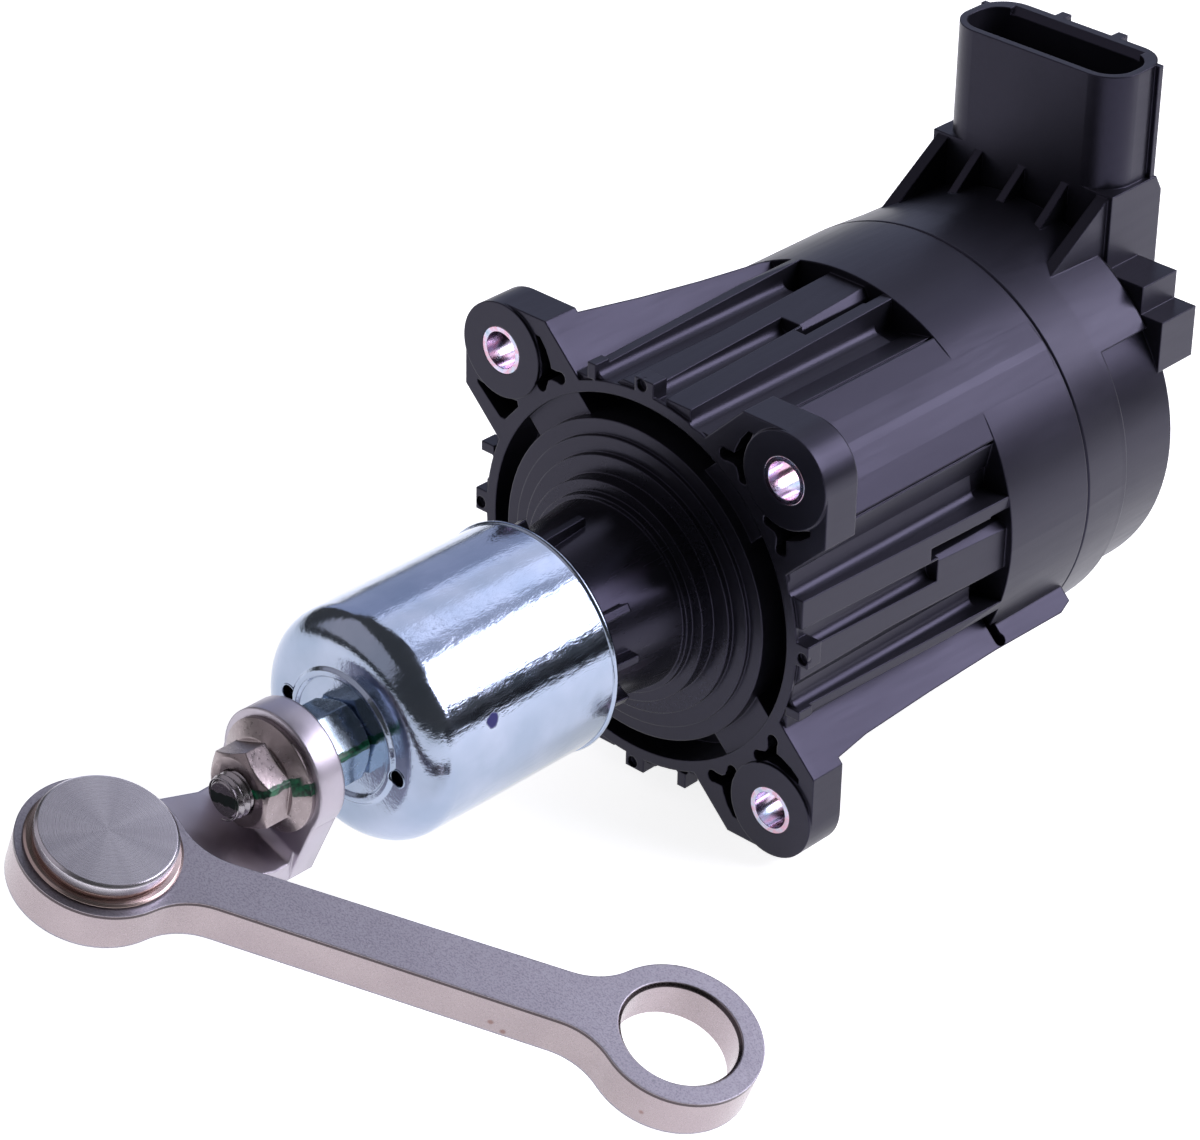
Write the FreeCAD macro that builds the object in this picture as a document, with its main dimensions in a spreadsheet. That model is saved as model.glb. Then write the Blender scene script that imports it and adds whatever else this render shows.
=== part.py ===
import FreeCAD, Part
import Sketcher
import os
import re

# Electric turbo actuator with its drive link. Millimetres. The rod axis is Y, the rod end points to -Y,
# the connector points to +Z. The origin is on the rod axis in the plane of the mounting bosses.

V = FreeCAD.Vector

SIZES = {
    # Mounting ears
    "hole_offset": 25.0,
    "hole_rad": 2.65,
    "bushing_rad": 3.35,
    "boss_rad": 6.9,
    "ear_depth": 6.2,
    "web_recess": 0.4,
    "flank_half": 10.25,
    "ear_root": 9.0,
    "pocket_depth": 5.2,
    "pocket_drop": 7.9,
    "lobe_half": 0.8,
    "lobe_near": 2.3,
    "lobe_far": 2.6,
    "lobe_tip": 4.7,
    "lobe_rise": 1.7,
    # Body outside
    "core_rad": 27.9,
    "land_rad": 30.0,
    "land_start": 0.9,
    "land_near": 28.3,
    "land_far": 29.9,
    "tooth_back": 3.0,
    "band_start": 41.0,
    "band_rad": 31.0,
    "seam_at": 57.75,
    "seam_chamfer": 0.25,
    "cavity_rad": 24.6,
    "cavity_front": 9.5,
    "gap_out_rad": 26.25,
    "gap_floor": 6.5,
    "flange_rad": 22.95,
    "flange_front": -0.5,
    "step_a_rad": 20.75,
    "step_a_front": -1.1,
    "step_b_rad": 18.4,
    "step_b_front": -2.0,
    "step_c_rad": 15.8,
    "step_c_front": -4.2,
    "step_d_rad": 14.1,
    "step_d_front": -5.3,
    "cone_base_rad": 13.4,
    "cone_tip_rad": 10.8,
    "cone_tip": -26.0,
    "fin_half": 0.6,
    "fin_out_rad": 14.0,
    "fin_in_rad": 9.4,
    "fin_short_end": -14.3,
    "fin_long_end": -10.5,
    "tab_front": 1.2,
    # Longitudinal channels of the body, measured across the top side
    "rib_out": 9.6,
    "rib_in": 8.2,
    "chan_one_in": 4.4,
    "chan_two_out": 0.55,
    "chan_two_in": 3.9,
    "chan_jog_in": 6.1,
    "chan_three_out": 8.1,
    "chan_three_in": 11.2,
    "chan_round": 1.3,
    "root_floor": 26.4,
    "chan_floor": 26.1,
    "end_pocket_at": 37.5,
    "end_pocket_drop": 0.6,
    "jog_front": 25.7,
    "jog_back": 27.2,
    "lug_left": 1.25,
    "lug_right": 2.0,
    "lug_out": 29.9,
    "lug_spot": 29.0,
    "lug_back": 3.0,
    "spot_rad": 0.85,
    "rail_root": 25.4,
    # Rear cover and connector
    "cover_wall": 3.0,
    "cover_rad": 30.1,
    "cover_mid": 66.0,
    "cover_edge": 77.4,
    "cover_end_rad": 28.5,
    "cover_back": 79.6,
    "cover_cavity": 26.0,
    "spigot_in": 22.0,
    "spigot_out": 24.3,
    "spigot_front": 53.0,
    "seal_half": 0.9,
    "seal_deep": 1.3,
    "seal_gap": 0.1,
    "post_rad": 1.8,
    "post_at": 20.0,
    "waist_rad": 28.7,
    "waist_at": 67.0,
    "conn_half": 15.1,
    "conn_front": 78.6,
    "conn_depth": 12.5,
    "conn_top": 51.5,
    "conn_base": 34.6,
    "conn_round": 5.0,
    "conn_wall": 1.1,
    "conn_far_wall": 2.3,
    "conn_floor": 37.0,
    "base_half": 15.9,
    "base_back": 90.0,
    "base_low": 14.0,
    "rib_pitch": 7.6,
    "rib_foot_y": 64.0,
    "rib_slope": 0.84,
    "outer_slope": 0.65,
    "rib_wall": 1.3,
    "lead_in": 0.95,
    # Rod, cup and nuts
    "cup_rad": 15.93,
    "cup_wall": 1.0,
    "cup_mouth": -20.6,
    "cup_face": -53.75,
    "cup_round": 4.6,
    "drain_off": 9.9,
    "drain_rad": 1.15,
    "rod_rad": 5.0,
    "rod_flat": 4.4,
    "rod_shoulder_back": 1.0,
    "screw_rad": 4.0,
    "screw_end": 52.0,
    "stud_rad": 3.0,
    "stud_tip": -74.05,
    "thread_pitch": 1.0,
    "thread_depth": 0.45,
    "nut_flats": 10.0,
    "lock_nut_front": -61.75,
    "eye_front": -65.75,
    "flange_nut_front": -71.75,
    "flange_rim": 7.7,
    # Bracket, pin and link
    "tilt": 20.6,
    "pin_at": -94.4,
    "arm_angle": 35.2,
    "link_reach": 72.4,
    "link_low": -2.0,
    "link_high": 3.9,
    "link_eye_rad": 10.75,
    "link_ring_rad": 10.5,
    "link_hole_rad": 7.4,
    "link_hole_chamfer": 0.45,
    "arm_half": 3.75,
    "neck_round": 9.0,
    "eye_plate_rad": 10.75,
    "tongue_half": 7.5,
    "web_half": 7.5,
    "plate_high": -2.4,
    "plate_low": -5.6,
    "pin_rad": 6.0,
    "pin_foot_rad": 4.5,
    "pin_head_rad": 8.78,
    "pin_head_top": 6.9,
    "pin_collar_rad": 9.7,
    "bush_wall": 1.2,
    # Motor, bearings and sensor
    "run_gap": 0.05,
    "sleeve_out": 9.0,
    "sleeve_in": 7.6,
    "magnet_rad": 14.4,
    "magnet_front": 15.0,
    "magnet_back": 42.0,
    "stator_in": 15.1,
    "stator_out": 24.3,
    "yoke_in": 21.0,
    "tooth_half": 2.1,
    "coil_half": 4.4,
    "coil_over": 2.4,
    "bearing_front": 46.0,
    "bearing_width": 6.0,
    "race_in": 11.1,
    "race_out": 14.9,
    "bearing_out": 17.0,
    "lead_at": 18.6,
    "lead_rad": 0.6,
    "board_at": 71.0,
    "board_thick": 1.6,
    "board_rad": 23.5,
    "blade_pitch": 3.8,
    "blade_half": 0.75,
    "blade_thin": 0.32,
}

doc = FreeCAD.newDocument("turbo_actuator")
sheet = doc.addObject("Spreadsheet::Sheet", "Sizes")
aliases = list(SIZES)
nodes = []

# One row for each driving dimension: its name in column A and its plain number in column B
for row, alias in enumerate(aliases, 1):
    sheet.set("A%d" % row, alias)
    sheet.set("B%d" % row, str(SIZES[alias]))
    sheet.setAlias("B%d" % row, alias)
doc.recompute()


def expr(text):
    """Dimension names in a text become references to the sheet."""
    return re.sub(r"[a-z][a-z0-9_]*", lambda w: "Sizes." + w.group(0) if w.group(0) in aliases else w.group(0), text)


def bind(item, **bound):
    for name, text in bound.items():
        item.setExpression(name, expr(text))
    return item


def centre(item, x, y, z):
    for axis, text in (("x", x), ("y", y), ("z", z)):
        item.setExpression("Placement.Base." + axis, expr(text))
    return item


def node(item, label):
    item.Label = label
    nodes.append(item)
    return item


def closed_outline(sketch, corners):
    """Straight closed outline. Every corner is held across and along by the sheet."""
    count = len(corners)
    spots = []
    for i in range(count):
        turn_to = V(30, 0, 0)
        spots.append(FreeCAD.Rotation(V(0, 0, 1), 360.0 * i / count).multVec(turn_to) + V(41, 1, 0))
    sketch.addGeometry([Part.LineSegment(spots[i], spots[(i + 1) % count]) for i in range(count)], False)
    joined = [Sketcher.Constraint("Coincident", i, 2, (i + 1) % count, 1) for i in range(count)]
    sketch.addConstraint(joined)
    for i, (across, along) in enumerate(corners):
        hold(sketch, i, 1, across, along, spots[i])


def hold(sketch, item, spot, across, along, start):
    if across == "0":
        sketch.addConstraint(Sketcher.Constraint("PointOnObject", item, spot, -2))
    else:
        k = sketch.addConstraint(Sketcher.Constraint("DistanceX", -1, 1, item, spot, start.x))
        sketch.setExpression("Constraints[%d]" % k, expr(across))
    if along == "0":
        sketch.addConstraint(Sketcher.Constraint("PointOnObject", item, spot, -1))
    else:
        k = sketch.addConstraint(Sketcher.Constraint("DistanceY", -1, 1, item, spot, start.y))
        sketch.setExpression("Constraints[%d]" % k, expr(along))


def circle_outline(sketch, across, along, radius):
    sketch.addGeometry(Part.Circle(V(3, 3, 0), V(0, 0, 1), 2), False)
    hold(sketch, 0, 3, across, along, V(3, 3, 0))
    k = sketch.addConstraint(Sketcher.Constraint("Radius", 0, 2))
    sketch.setExpression("Constraints[%d]" % k, expr(radius))


def own_plane(body, role):
    return [o for o in body.Origin.OriginFeatures if o.Role == role][0]


def body_sketch(body, name, role, offset="0"):
    sketch = body.newObject("Sketcher::SketchObject", name)
    sketch.AttachmentSupport = [(own_plane(body, role), "")]
    sketch.MapMode = "FlatFace"
    if offset != "0":
        sketch.setExpression("AttachmentOffset.Base.z", expr(offset))
    return sketch


def turned_piece(name, corners):
    """Body of revolution about the rod axis; corners are (radius, place along the axis)."""
    body = doc.addObject("PartDesign::Body", name)
    sketch = body_sketch(body, name + "_outline", "XY_Plane")
    closed_outline(sketch, corners)
    spun = body.newObject("PartDesign::Revolution", name + "_turned")
    spun.Profile = sketch
    spun.ReferenceAxis = (sketch, ["V_Axis"])
    spun.Angle = 360
    body.Tip = spun
    return body


def slab(name, plane, corners, forward, back="0"):
    """Straight outline pushed square to its plane: side = XY, front = XZ, profile = YZ."""
    sketch = doc.addObject("Sketcher::SketchObject", name + "_outline")
    frames = {
        "side": (FreeCAD.Rotation(), V(0, 0, 1)),
        "front": (FreeCAD.Rotation(V(1, 0, 0), 90), V(0, 1, 0)),
        "profile": (FreeCAD.Rotation(V(1, 1, 1), 120), V(1, 0, 0)),
    }
    rotation, push = frames[plane]
    sketch.Placement = FreeCAD.Placement(V(0, 0, 0), rotation)
    closed_outline(sketch, corners)
    solid = doc.addObject("Part::Extrusion", name)
    solid.Base = sketch
    solid.DirMode = "Custom"
    solid.Dir = push
    solid.Solid = True
    bind(solid, LengthFwd=forward, LengthRev=back)
    return solid


def brick(name, x_from, x_to, y_from, y_to, z_from, z_to):
    item = doc.addObject("Part::Box", name)
    bind(item, Length="(%s) - (%s)" % (x_to, x_from), Width="(%s) - (%s)" % (y_to, y_from))
    bind(item, Height="(%s) - (%s)" % (z_to, z_from))
    return centre(item, x_from, y_from, z_from)


def along_rod(name, radius, y_from, y_to, x="0", z="0"):
    item = doc.addObject("Part::Cylinder", name)
    item.Placement = FreeCAD.Placement(V(0, 0, 0), FreeCAD.Rotation(V(1, 0, 0), -90))
    bind(item, Radius=radius, Height="(%s) - (%s)" % (y_to, y_from))
    return centre(item, x, y_from, z)


def join(name, items):
    item = doc.addObject("Part::MultiFuse", name)
    item.Shapes = items
    return item


def group(name, items):
    item = doc.addObject("Part::Compound", name)
    item.Links = items
    return item


def less(name, base, tool):
    item = doc.addObject("Part::Cut", name)
    item.Base = base
    item.Tool = tool
    return item


def shared(name, base, tool):
    item = doc.addObject("Part::Common", name)
    item.Base = base
    item.Tool = tool
    return item


def swung(item, degrees):
    """Turn a piece about the rod axis."""
    item.Placement = FreeCAD.Placement(V(0, 0, 0), FreeCAD.Rotation(V(0, 1, 0), degrees))
    return item


def mirrored(name, source, normal):
    item = doc.addObject("Part::Mirroring", name)
    item.Source = source
    item.Base = V(0, 0, 0)
    item.Normal = normal
    return item


def tube(name, inner, outer, y_from, y_to):
    corners = [(inner, y_from), (outer, y_from), (outer, y_to), (inner, y_to)]
    return turned_piece(name, corners)


# Housing: one moulding with the nose, the ring, three ears and the ribbed barrel
def housing_core():
    return turned_piece("housing_core", [
        ("8.2", "cone_tip"),
        ("cone_tip_rad", "cone_tip"),
        ("cone_base_rad", "step_d_front"),
        ("step_d_rad", "step_d_front"),
        ("step_d_rad", "step_c_front"),
        ("step_c_rad", "step_c_front"),
        ("step_c_rad", "step_b_front"),
        ("step_b_rad", "step_b_front"),
        ("step_b_rad", "step_a_front"),
        ("step_a_rad", "step_a_front"),
        ("step_a_rad", "flange_front"),
        ("flange_rad", "flange_front"),
        ("flange_rad", "web_recess"),
        ("core_rad", "web_recess"),
        ("core_rad", "land_start"),
        ("band_rad", "land_start"),
        ("band_rad", "seam_at - seam_chamfer"),
        ("band_rad - seam_chamfer", "seam_at"),
        ("cavity_rad", "seam_at"),
        ("cavity_rad", "cavity_front"),
        ("sleeve_out + 1.5", "cavity_front"),
        ("sleeve_out + 1.5", "2"),
        ("8.2", "2"),
    ])


def round_channel(name, wall, far, y_from, y_to, floor):
    """Channel on the top side: a straight wall, a rounded foot below it and a flat floor to the far side."""
    foot = wall + " + chan_round"
    side = brick(name + "_side", wall, far, y_from, y_to, floor + " + chan_round", "band_rad + 2")
    level = brick(name + "_floor", foot, far, y_from, y_to, floor, "band_rad + 2")
    bottom = along_rod(name + "_foot", "chan_round", y_from, y_to, foot, floor + " + chan_round")
    return [side, level, bottom]


def channel_set():
    back = "band_start"
    front = "web_recess - 1"
    items = [brick("root_channel", "-flank_half * 1.4142136", "-rib_out", "land_start", back, "root_floor",
                   "band_rad + 2")]
    items += round_channel("channel_one", "-rib_in", "-chan_one_in - 0.9", "land_start", back, "chan_floor + 0.9")
    items.append(slab("channel_one_slope", "front", [
        ("-chan_one_in - 1", "chan_floor + 0.9"),
        ("-chan_one_in + 1.6", "land_near + 0.7"),
        ("-chan_one_in + 1.6", "band_rad + 2"),
        ("-chan_one_in - 1", "band_rad + 2"),
    ], back, "-(%s)" % "land_start"))
    items += round_channel("channel_two", "chan_two_out", "chan_two_in", "land_start", "jog_back",
                           "chan_floor + 1.2")
    items.append(brick("channel_jog", "chan_two_in + 0.3", "chan_jog_in", "jog_front", back, "chan_floor + 0.4",
                       "band_rad + 2"))
    items.append(slab("jog_shoulder", "front", [
        ("chan_two_in - 0.7", "land_far + 0.1"),
        ("chan_two_in + 0.4", "chan_floor + 2.4"),
        ("chan_two_in + 0.4", "band_rad + 2"),
        ("chan_two_in - 0.7", "band_rad + 2"),
    ], back, "-jog_back"))
    items += round_channel("channel_three", "chan_three_out", "chan_three_in", front, back, "chan_floor")
    items.append(slab("channel_three_flank", "front", [
        ("chan_three_out + chan_round", "chan_floor + chan_round"),
        ("chan_three_out + chan_round", "chan_floor"),
        ("chan_three_in", "chan_floor - 0.3"),
        ("chan_three_in + 4.4", "chan_floor + 0.6"),
        ("chan_three_in + 10", "band_rad + 2"),
        ("chan_three_out + chan_round", "band_rad + 2"),
    ], back, "1"))
    items.append(brick("end_pocket_one", "-rib_in", "-chan_one_in + 0.3", "end_pocket_at", back,
                       "chan_floor - end_pocket_drop", "band_rad + 2"))
    items.append(brick("end_pocket_two", "chan_two_in + 0.3", "chan_jog_in + 0.3", "end_pocket_at", back,
                       "chan_floor - end_pocket_drop", "band_rad + 2"))
    items.append(brick("end_pocket_three", "chan_three_out", "chan_three_in", "end_pocket_at", back,
                       "chan_floor - end_pocket_drop", "band_rad + 2"))
    return join("channels_top", items)


def side_flats():
    """Drafted flat sides of the barrel and the lower corners under the rails."""
    items = []
    corners = [
        ("land_near", "land_start"),
        ("land_far", "band_start"),
        ("band_rad + 2", "band_start"),
        ("band_rad + 2", "land_start"),
    ]
    for i in range(4):
        name = "side_flat_%d" % i
        items.append(swung(group(name, [slab(name + "_cut", "side", corners, "flank_half", "flank_half")]),
                           90.0 * i))
        ring = tube("corner_ring_%d" % i, "land_rad", "band_rad + 2", "land_start", "band_start")
        zone = brick("corner_zone_%d" % i, "20", "40", "-1", "band_start + 1", "-8.2", "8.2")
        turned = swung(group("corner_turn_%d" % i, [zone]), 45.0 + 90.0 * i)
        items.append(shared("corner_cut_%d" % i, ring, turned))
    return items


def channel_tools():
    top = channel_set()
    right = mirrored("channels_right", top, V(1, 0, -1))
    left = mirrored("channels_left", top, V(1, 0, 1))
    bottom = mirrored("channels_bottom", right, V(1, 0, 1))
    return join("channels", [top, right, left, bottom] + side_flats())


def ear(name, degrees):
    side = "hole_offset + boss_rad"
    flank = "flank_half * 1.4142136"
    plate = slab(name + "_plate", "front", [
        ("%s - %s" % (side, flank), side),
        ("hole_offset", side),
        (side, "hole_offset"),
        (side, "%s - %s" % (side, flank)),
        (side + " - ear_root", "%s - %s - ear_root" % (side, flank)),
        ("%s - %s - ear_root" % (side, flank), side + " - ear_root"),
    ], "ear_depth", "-web_recess")
    boss = along_rod(name + "_boss", "boss_rad", "0", "ear_depth", "hole_offset", "hole_offset")
    return swung(join(name, [plate, boss]), degrees)


def lobed_pocket(name, swap):
    """Three-armed pocket beside a mounting boss, in the upper right quarter."""
    across = "hole_offset - 0.4"
    down = "hole_offset - pocket_drop"
    corners = [
        (across + " + lobe_tip", down + " + lobe_rise + 0.35"),
        (across + " + lobe_tip / 2", down + " + lobe_half + 0.4"),
        (across + " + lobe_half", down + " + lobe_half"),
        (across + " - lobe_half", down + " + lobe_half"),
        (across + " - lobe_near", down + " + lobe_half * 1.9"),
        (across + " - lobe_near", down + " - 0.1"),
        (across + " - lobe_half * 1.4", down + " - lobe_half * 0.6"),
        (across + " - lobe_half", down + " - lobe_half * 1.3"),
        (across + " - lobe_half", down + " - lobe_far"),
        (across + " + lobe_half", down + " - lobe_far"),
        (across + " + lobe_half", down + " - lobe_half * 1.2"),
        (across + " + lobe_half * 2", down + " - lobe_half * 0.9"),
        (across + " + lobe_tip - 1.4", down + " + 0.1"),
        (across + " + lobe_tip", down + " + lobe_rise - 0.5"),
    ]
    near = (across + " - lobe_near", down + " + lobe_half * 0.9")
    far = (across, down + " - lobe_far")
    if swap:
        corners = [(b, a) for a, b in corners]
        near = near[::-1]
        far = far[::-1]
    star = slab(name + "_star", "front", corners, "pocket_depth", "1")
    near_end = along_rod(name + "_near", "lobe_half + 0.05", "-1", "pocket_depth", near[0], near[1])
    far_end = along_rod(name + "_far", "lobe_half + 0.1", "-1", "pocket_depth", far[0], far[1])
    return join(name, [star, near_end, far_end])


def plain_pocket(name):
    corners = [
        ("hole_offset - 6.2", "hole_offset + 4.7"),
        ("hole_offset - 7.0", "hole_offset + 1.0"),
        ("hole_offset - 6.8", "hole_offset - 2.7"),
        ("hole_offset - 7.6", "hole_offset - 2.9"),
        ("hole_offset - 10.4", "hole_offset - 0.5"),
        ("hole_offset - 10.4", "hole_offset + 0.4"),
        ("hole_offset - 6.7", "hole_offset + 4.7"),
    ]
    return slab(name, "front", corners, "pocket_depth", "1")


def ear_cut(name, degrees, plain):
    lower = lobed_pocket(name + "_lower", False)
    upper = plain_pocket(name + "_upper") if plain else lobed_pocket(name + "_upper", True)
    hole = along_rod(name + "_hole", "bushing_rad + 0.02", "-1", "ear_depth + 1", "hole_offset", "hole_offset")
    return swung(group(name, [lower, upper, hole]), degrees)


def rail(name, degrees, corners, half):
    """Radial web behind an ear: corners are (distance from the rod axis, place along it)."""
    return swung(group(name, [slab(name + "_web", "side", corners, half, half)]), degrees)


def housing_rails():
    start = ("rail_root", "web_recess")
    upper_left = rail("rail_upper_left", -135, [
        start, ("band_rad + 3.3", "web_recess"), ("band_rad + 3.2", "ear_depth"), ("band_rad + 1.4", "17"), ("band_rad - 0.1", "27.8"),
        ("band_rad - 1.4", "39.3"), ("band_rad - 2", "band_start + 0.5"), ("rail_root", "band_start + 0.5"),
    ], "flank_half")
    lower_right = rail("rail_lower_right", 45, [
        start, ("band_rad + 3.3", "web_recess"), ("band_rad + 2.9", "ear_depth"), ("band_rad + 2.1", "12.4"), ("band_rad + 1.6", "26"),
        ("band_rad + 1.3", "band_start"), ("band_rad + 1.5", "54.6"), ("band_rad + 0.6", "seam_at - 0.6"), ("rail_root", "seam_at - 0.6"),
    ], "flank_half")
    ridge = [("-7.9", "band_rad - 1.1"), ("-4", "band_rad - 0.25"), ("-0.6", "band_rad + 0.3"), ("0.6", "band_rad + 0.3"), ("4", "band_rad - 0.25"),
             ("7.9", "band_rad - 1.1"), ("7.9", "rail_root"), ("-7.9", "rail_root")]
    upper = slab("rail_ridge_up", "front", ridge, "seam_at - 0.6", "-1 * land_start")
    lower = slab("rail_ridge_down", "front", ridge, "seam_at - 0.6", "-1 * land_start")
    return [upper_left, lower_right, swung(group("rail_upper_right", [upper]), 45),
            swung(group("rail_lower_left", [lower]), -135)]


def tabs():
    """Short bridges from the ring to the nose flange across the ring gap."""
    items = []
    for name, degrees, low, high in (("tab_ul", -135, "-8", "3.3"), ("tab_lr", 45, "-3.3", "8"),
                                     ("tab_ur", -45, "-4.3", "6.9")):
        block = brick(name + "_block", "flange_rad - 1.6", "gap_out_rad + 0.5", "tab_front", "gap_floor + 0.5",
                      low, high)
        items.append(swung(group(name, [block]), degrees))
    return items


def ring_teeth():
    items = []
    tooth = brick("tooth_top", "-rib_out", "-rib_in", "web_recess", "tooth_back", "26.6", "28.9")
    items.append(tooth)
    right = mirrored("tooth_right", tooth, V(1, 0, -1))
    items.append(right)
    items.append(mirrored("tooth_left", tooth, V(1, 0, 1)))
    items.append(mirrored("tooth_bottom", right, V(1, 0, 1)))
    items.append(mirrored("tooth_low_left", tooth, V(0, 0, 1)))
    items.append(mirrored("tooth_left_low", right, V(1, 0, 0)))
    low = "-lug_left"
    high = "lug_right"
    front = "web_recess"
    back = "lug_back"
    items.append(brick("lug_top", low, high, front, back, "26.8", "lug_out"))
    items.append(brick("lug_bottom", low, high, front, back, "-lug_out", "-26.8"))
    items.append(brick("lug_right_side", "26.8", "lug_out", front, back, low, high))
    items.append(brick("lug_left_side", "-lug_out", "-26.8", front, back, low, high))
    return items


def lug_spots():
    items = []
    for name, x, z in (("spot_top", "0", "lug_spot"), ("spot_bottom", "0", "-lug_spot"),
                       ("spot_right", "lug_spot", "0"), ("spot_left", "-lug_spot", "0")):
        items.append(along_rod(name, "spot_rad", "-0.5", "web_recess + 0.7", x, z))
    return items


def fins():
    """Webs on the nose: nine short ones and two that reach the step."""
    items = []
    for i in range(12):
        if i == 2:
            continue
        name = "fin_%d" % i
        corners = [("fin_in_rad", "cone_tip + 1"), ("fin_out_rad - 0.8", "cone_tip + 1")]
        if i in (3, 7):
            corners += [("fin_out_rad", "fin_long_end"), ("fin_in_rad", "fin_long_end")]
        else:
            corners += [("fin_out_rad", "fin_short_end"), ("fin_in_rad", "fin_short_end")]
        web = slab(name + "_web", "side", corners, "fin_half", "fin_half")
        items.append(swung(group(name, [web]), -30.0 * i))
    return items


def keyhole():
    """Slot that frees the rear end of the lower right rail from the band."""
    slot = brick("keyhole_slot", "band_rad - 4.2", "band_rad + 0.4", "band_start", "band_start + 1.6", "-11", "11")
    bulb = doc.addObject("Part::Cylinder", "keyhole_bulb")
    bind(bulb, Radius="0.95", Height="22")
    centre(bulb, "band_rad + 0.3", "band_start + 0.95", "-11")
    tools = join("keyhole_tools", [slot, bulb])
    keep = brick("keyhole_keep", "20", "40", "30", "50", "-7", "7")
    return swung(group("keyhole", [less("keyhole_sides", tools, keep)]), 45)


def housing():
    barrel = less("housing_barrel", housing_core(), channel_tools())
    ears = [ear("ear_upper_right", 0), ear("ear_upper_left", -90), ear("ear_lower_right", 90)]
    solid = join("housing_solid", [barrel] + ears + housing_rails() + ring_teeth())
    gap = tube("ring_gap", "flange_rad", "gap_out_rad", "-1", "gap_floor")
    open_ring = less("housing_open_ring", solid, gap)
    bridged = join("housing_bridged", [open_ring] + tabs() + fins())
    cuts = [ear_cut("cut_upper_right", 0, False), ear_cut("cut_upper_left", -90, True),
            ear_cut("cut_lower_right", 90, False), keyhole()]
    tools = group("housing_cuts", cuts + lug_spots())
    return node(less("housing_final", bridged, tools), "housing")


def bushings():
    for label, degrees in (("bushing_upper_right", 0), ("bushing_upper_left", -90),
                           ("bushing_lower_right", 90)):
        outer = along_rod(label + "_outer", "bushing_rad", "0", "ear_depth", "hole_offset", "hole_offset")
        inner = along_rod(label + "_inner", "hole_rad", "-1", "ear_depth + 1", "hole_offset", "hole_offset")
        node(swung(less(label + "_tube", outer, inner), degrees), label)


# Rear cover with the connector shroud
SEAL_MIDDLE = "(spigot_out + band_rad) / 2"


def cover_shell():
    return turned_piece("cover_shell", [
        ("spigot_in", "spigot_front"),
        ("spigot_out", "spigot_front"),
        ("spigot_out", "seam_at"),
        (SEAL_MIDDLE + " - seal_half", "seam_at"),
        (SEAL_MIDDLE + " - seal_half", "seam_at + seal_deep"),
        (SEAL_MIDDLE + " + seal_half", "seam_at + seal_deep"),
        (SEAL_MIDDLE + " + seal_half", "seam_at"),
        ("band_rad - seam_chamfer", "seam_at"),
        ("band_rad", "seam_at + seam_chamfer"),
        ("cover_rad + 0.4", "cover_mid"),
        ("cover_rad", "cover_edge"),
        ("cover_end_rad", "cover_back"),
        ("0", "cover_back"),
        ("0", "cover_back - cover_wall"),
        ("cover_cavity", "cover_back - cover_wall"),
        ("cover_cavity", "seam_at + seal_deep + 3.4"),
        ("spigot_in", "seam_at + seal_deep + 1.6"),
    ])


def waist_tool():
    ring = tube("waist_ring", "waist_rad", "34", "waist_at", "cover_back + 1")
    keep = slab("waist_keep", "front", [("-34", "-24.2"), ("34", "25"), ("34", "36"), ("-34", "36")], "90",
                "-60")
    return less("waist_tool", ring, keep)


def shroud():
    body = doc.addObject("PartDesign::Body", "shroud")
    half = "conn_half"
    back = "conn_front + conn_depth"
    outer = body_sketch(body, "shroud_outline", "XY_Plane", "conn_base - 2")
    closed_outline(outer, [("-" + half, "conn_front"), (half, "conn_front"), (half, back), ("-" + half, back)])
    wall = body.newObject("PartDesign::Pad", "shroud_wall")
    wall.Profile = outer
    bind(wall, Length="conn_top - conn_base + 2")
    doc.recompute()
    edges = ["Edge%d" % (i + 1) for i, e in enumerate(wall.Shape.Edges)
             if abs(e.tangentAt(e.FirstParameter).z) > 0.99]
    rounding = body.newObject("PartDesign::Fillet", "shroud_rounding")
    rounding.Base = (wall, edges)
    bind(rounding, Radius="conn_round")
    body.Tip = rounding
    return body


def socket_tool():
    body = doc.addObject("PartDesign::Body", "socket")
    half = "conn_half - conn_wall"
    front = "conn_front + conn_wall"
    back = "conn_front + conn_depth - conn_far_wall"
    inner = body_sketch(body, "socket_outline", "XY_Plane", "conn_floor")
    closed_outline(inner, [("-(%s)" % half, front), (half, front), (half, back), ("-(%s)" % half, back)])
    space = body.newObject("PartDesign::Pad", "socket_space")
    space.Profile = inner
    bind(space, Length="conn_top - conn_floor + 1")
    doc.recompute()
    edges = ["Edge%d" % (i + 1) for i, e in enumerate(space.Shape.Edges)
             if abs(e.tangentAt(e.FirstParameter).z) > 0.99]
    rounding = body.newObject("PartDesign::Fillet", "socket_rounding")
    rounding.Base = (space, edges)
    bind(rounding, Radius="conn_round - conn_wall")
    body.Tip = rounding
    return body


def lead_in_tool():
    """Wide lead-in around the socket mouth, deepest along the far wall."""
    half = "conn_half - conn_wall"
    low = "conn_top - lead_in"
    wall = "conn_front + conn_depth - conn_far_wall"
    corners = [
        (wall + " - 0.5", low),
        (wall, low),
        (wall + " + lead_in", "conn_top"),
        (wall + " + lead_in", "conn_top + 0.1"),
        (wall + " - 0.5", "conn_top + 0.1"),
    ]
    return slab("lead_in_far", "profile", corners, half + " - 2.6", half + " - 2.6")


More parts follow.
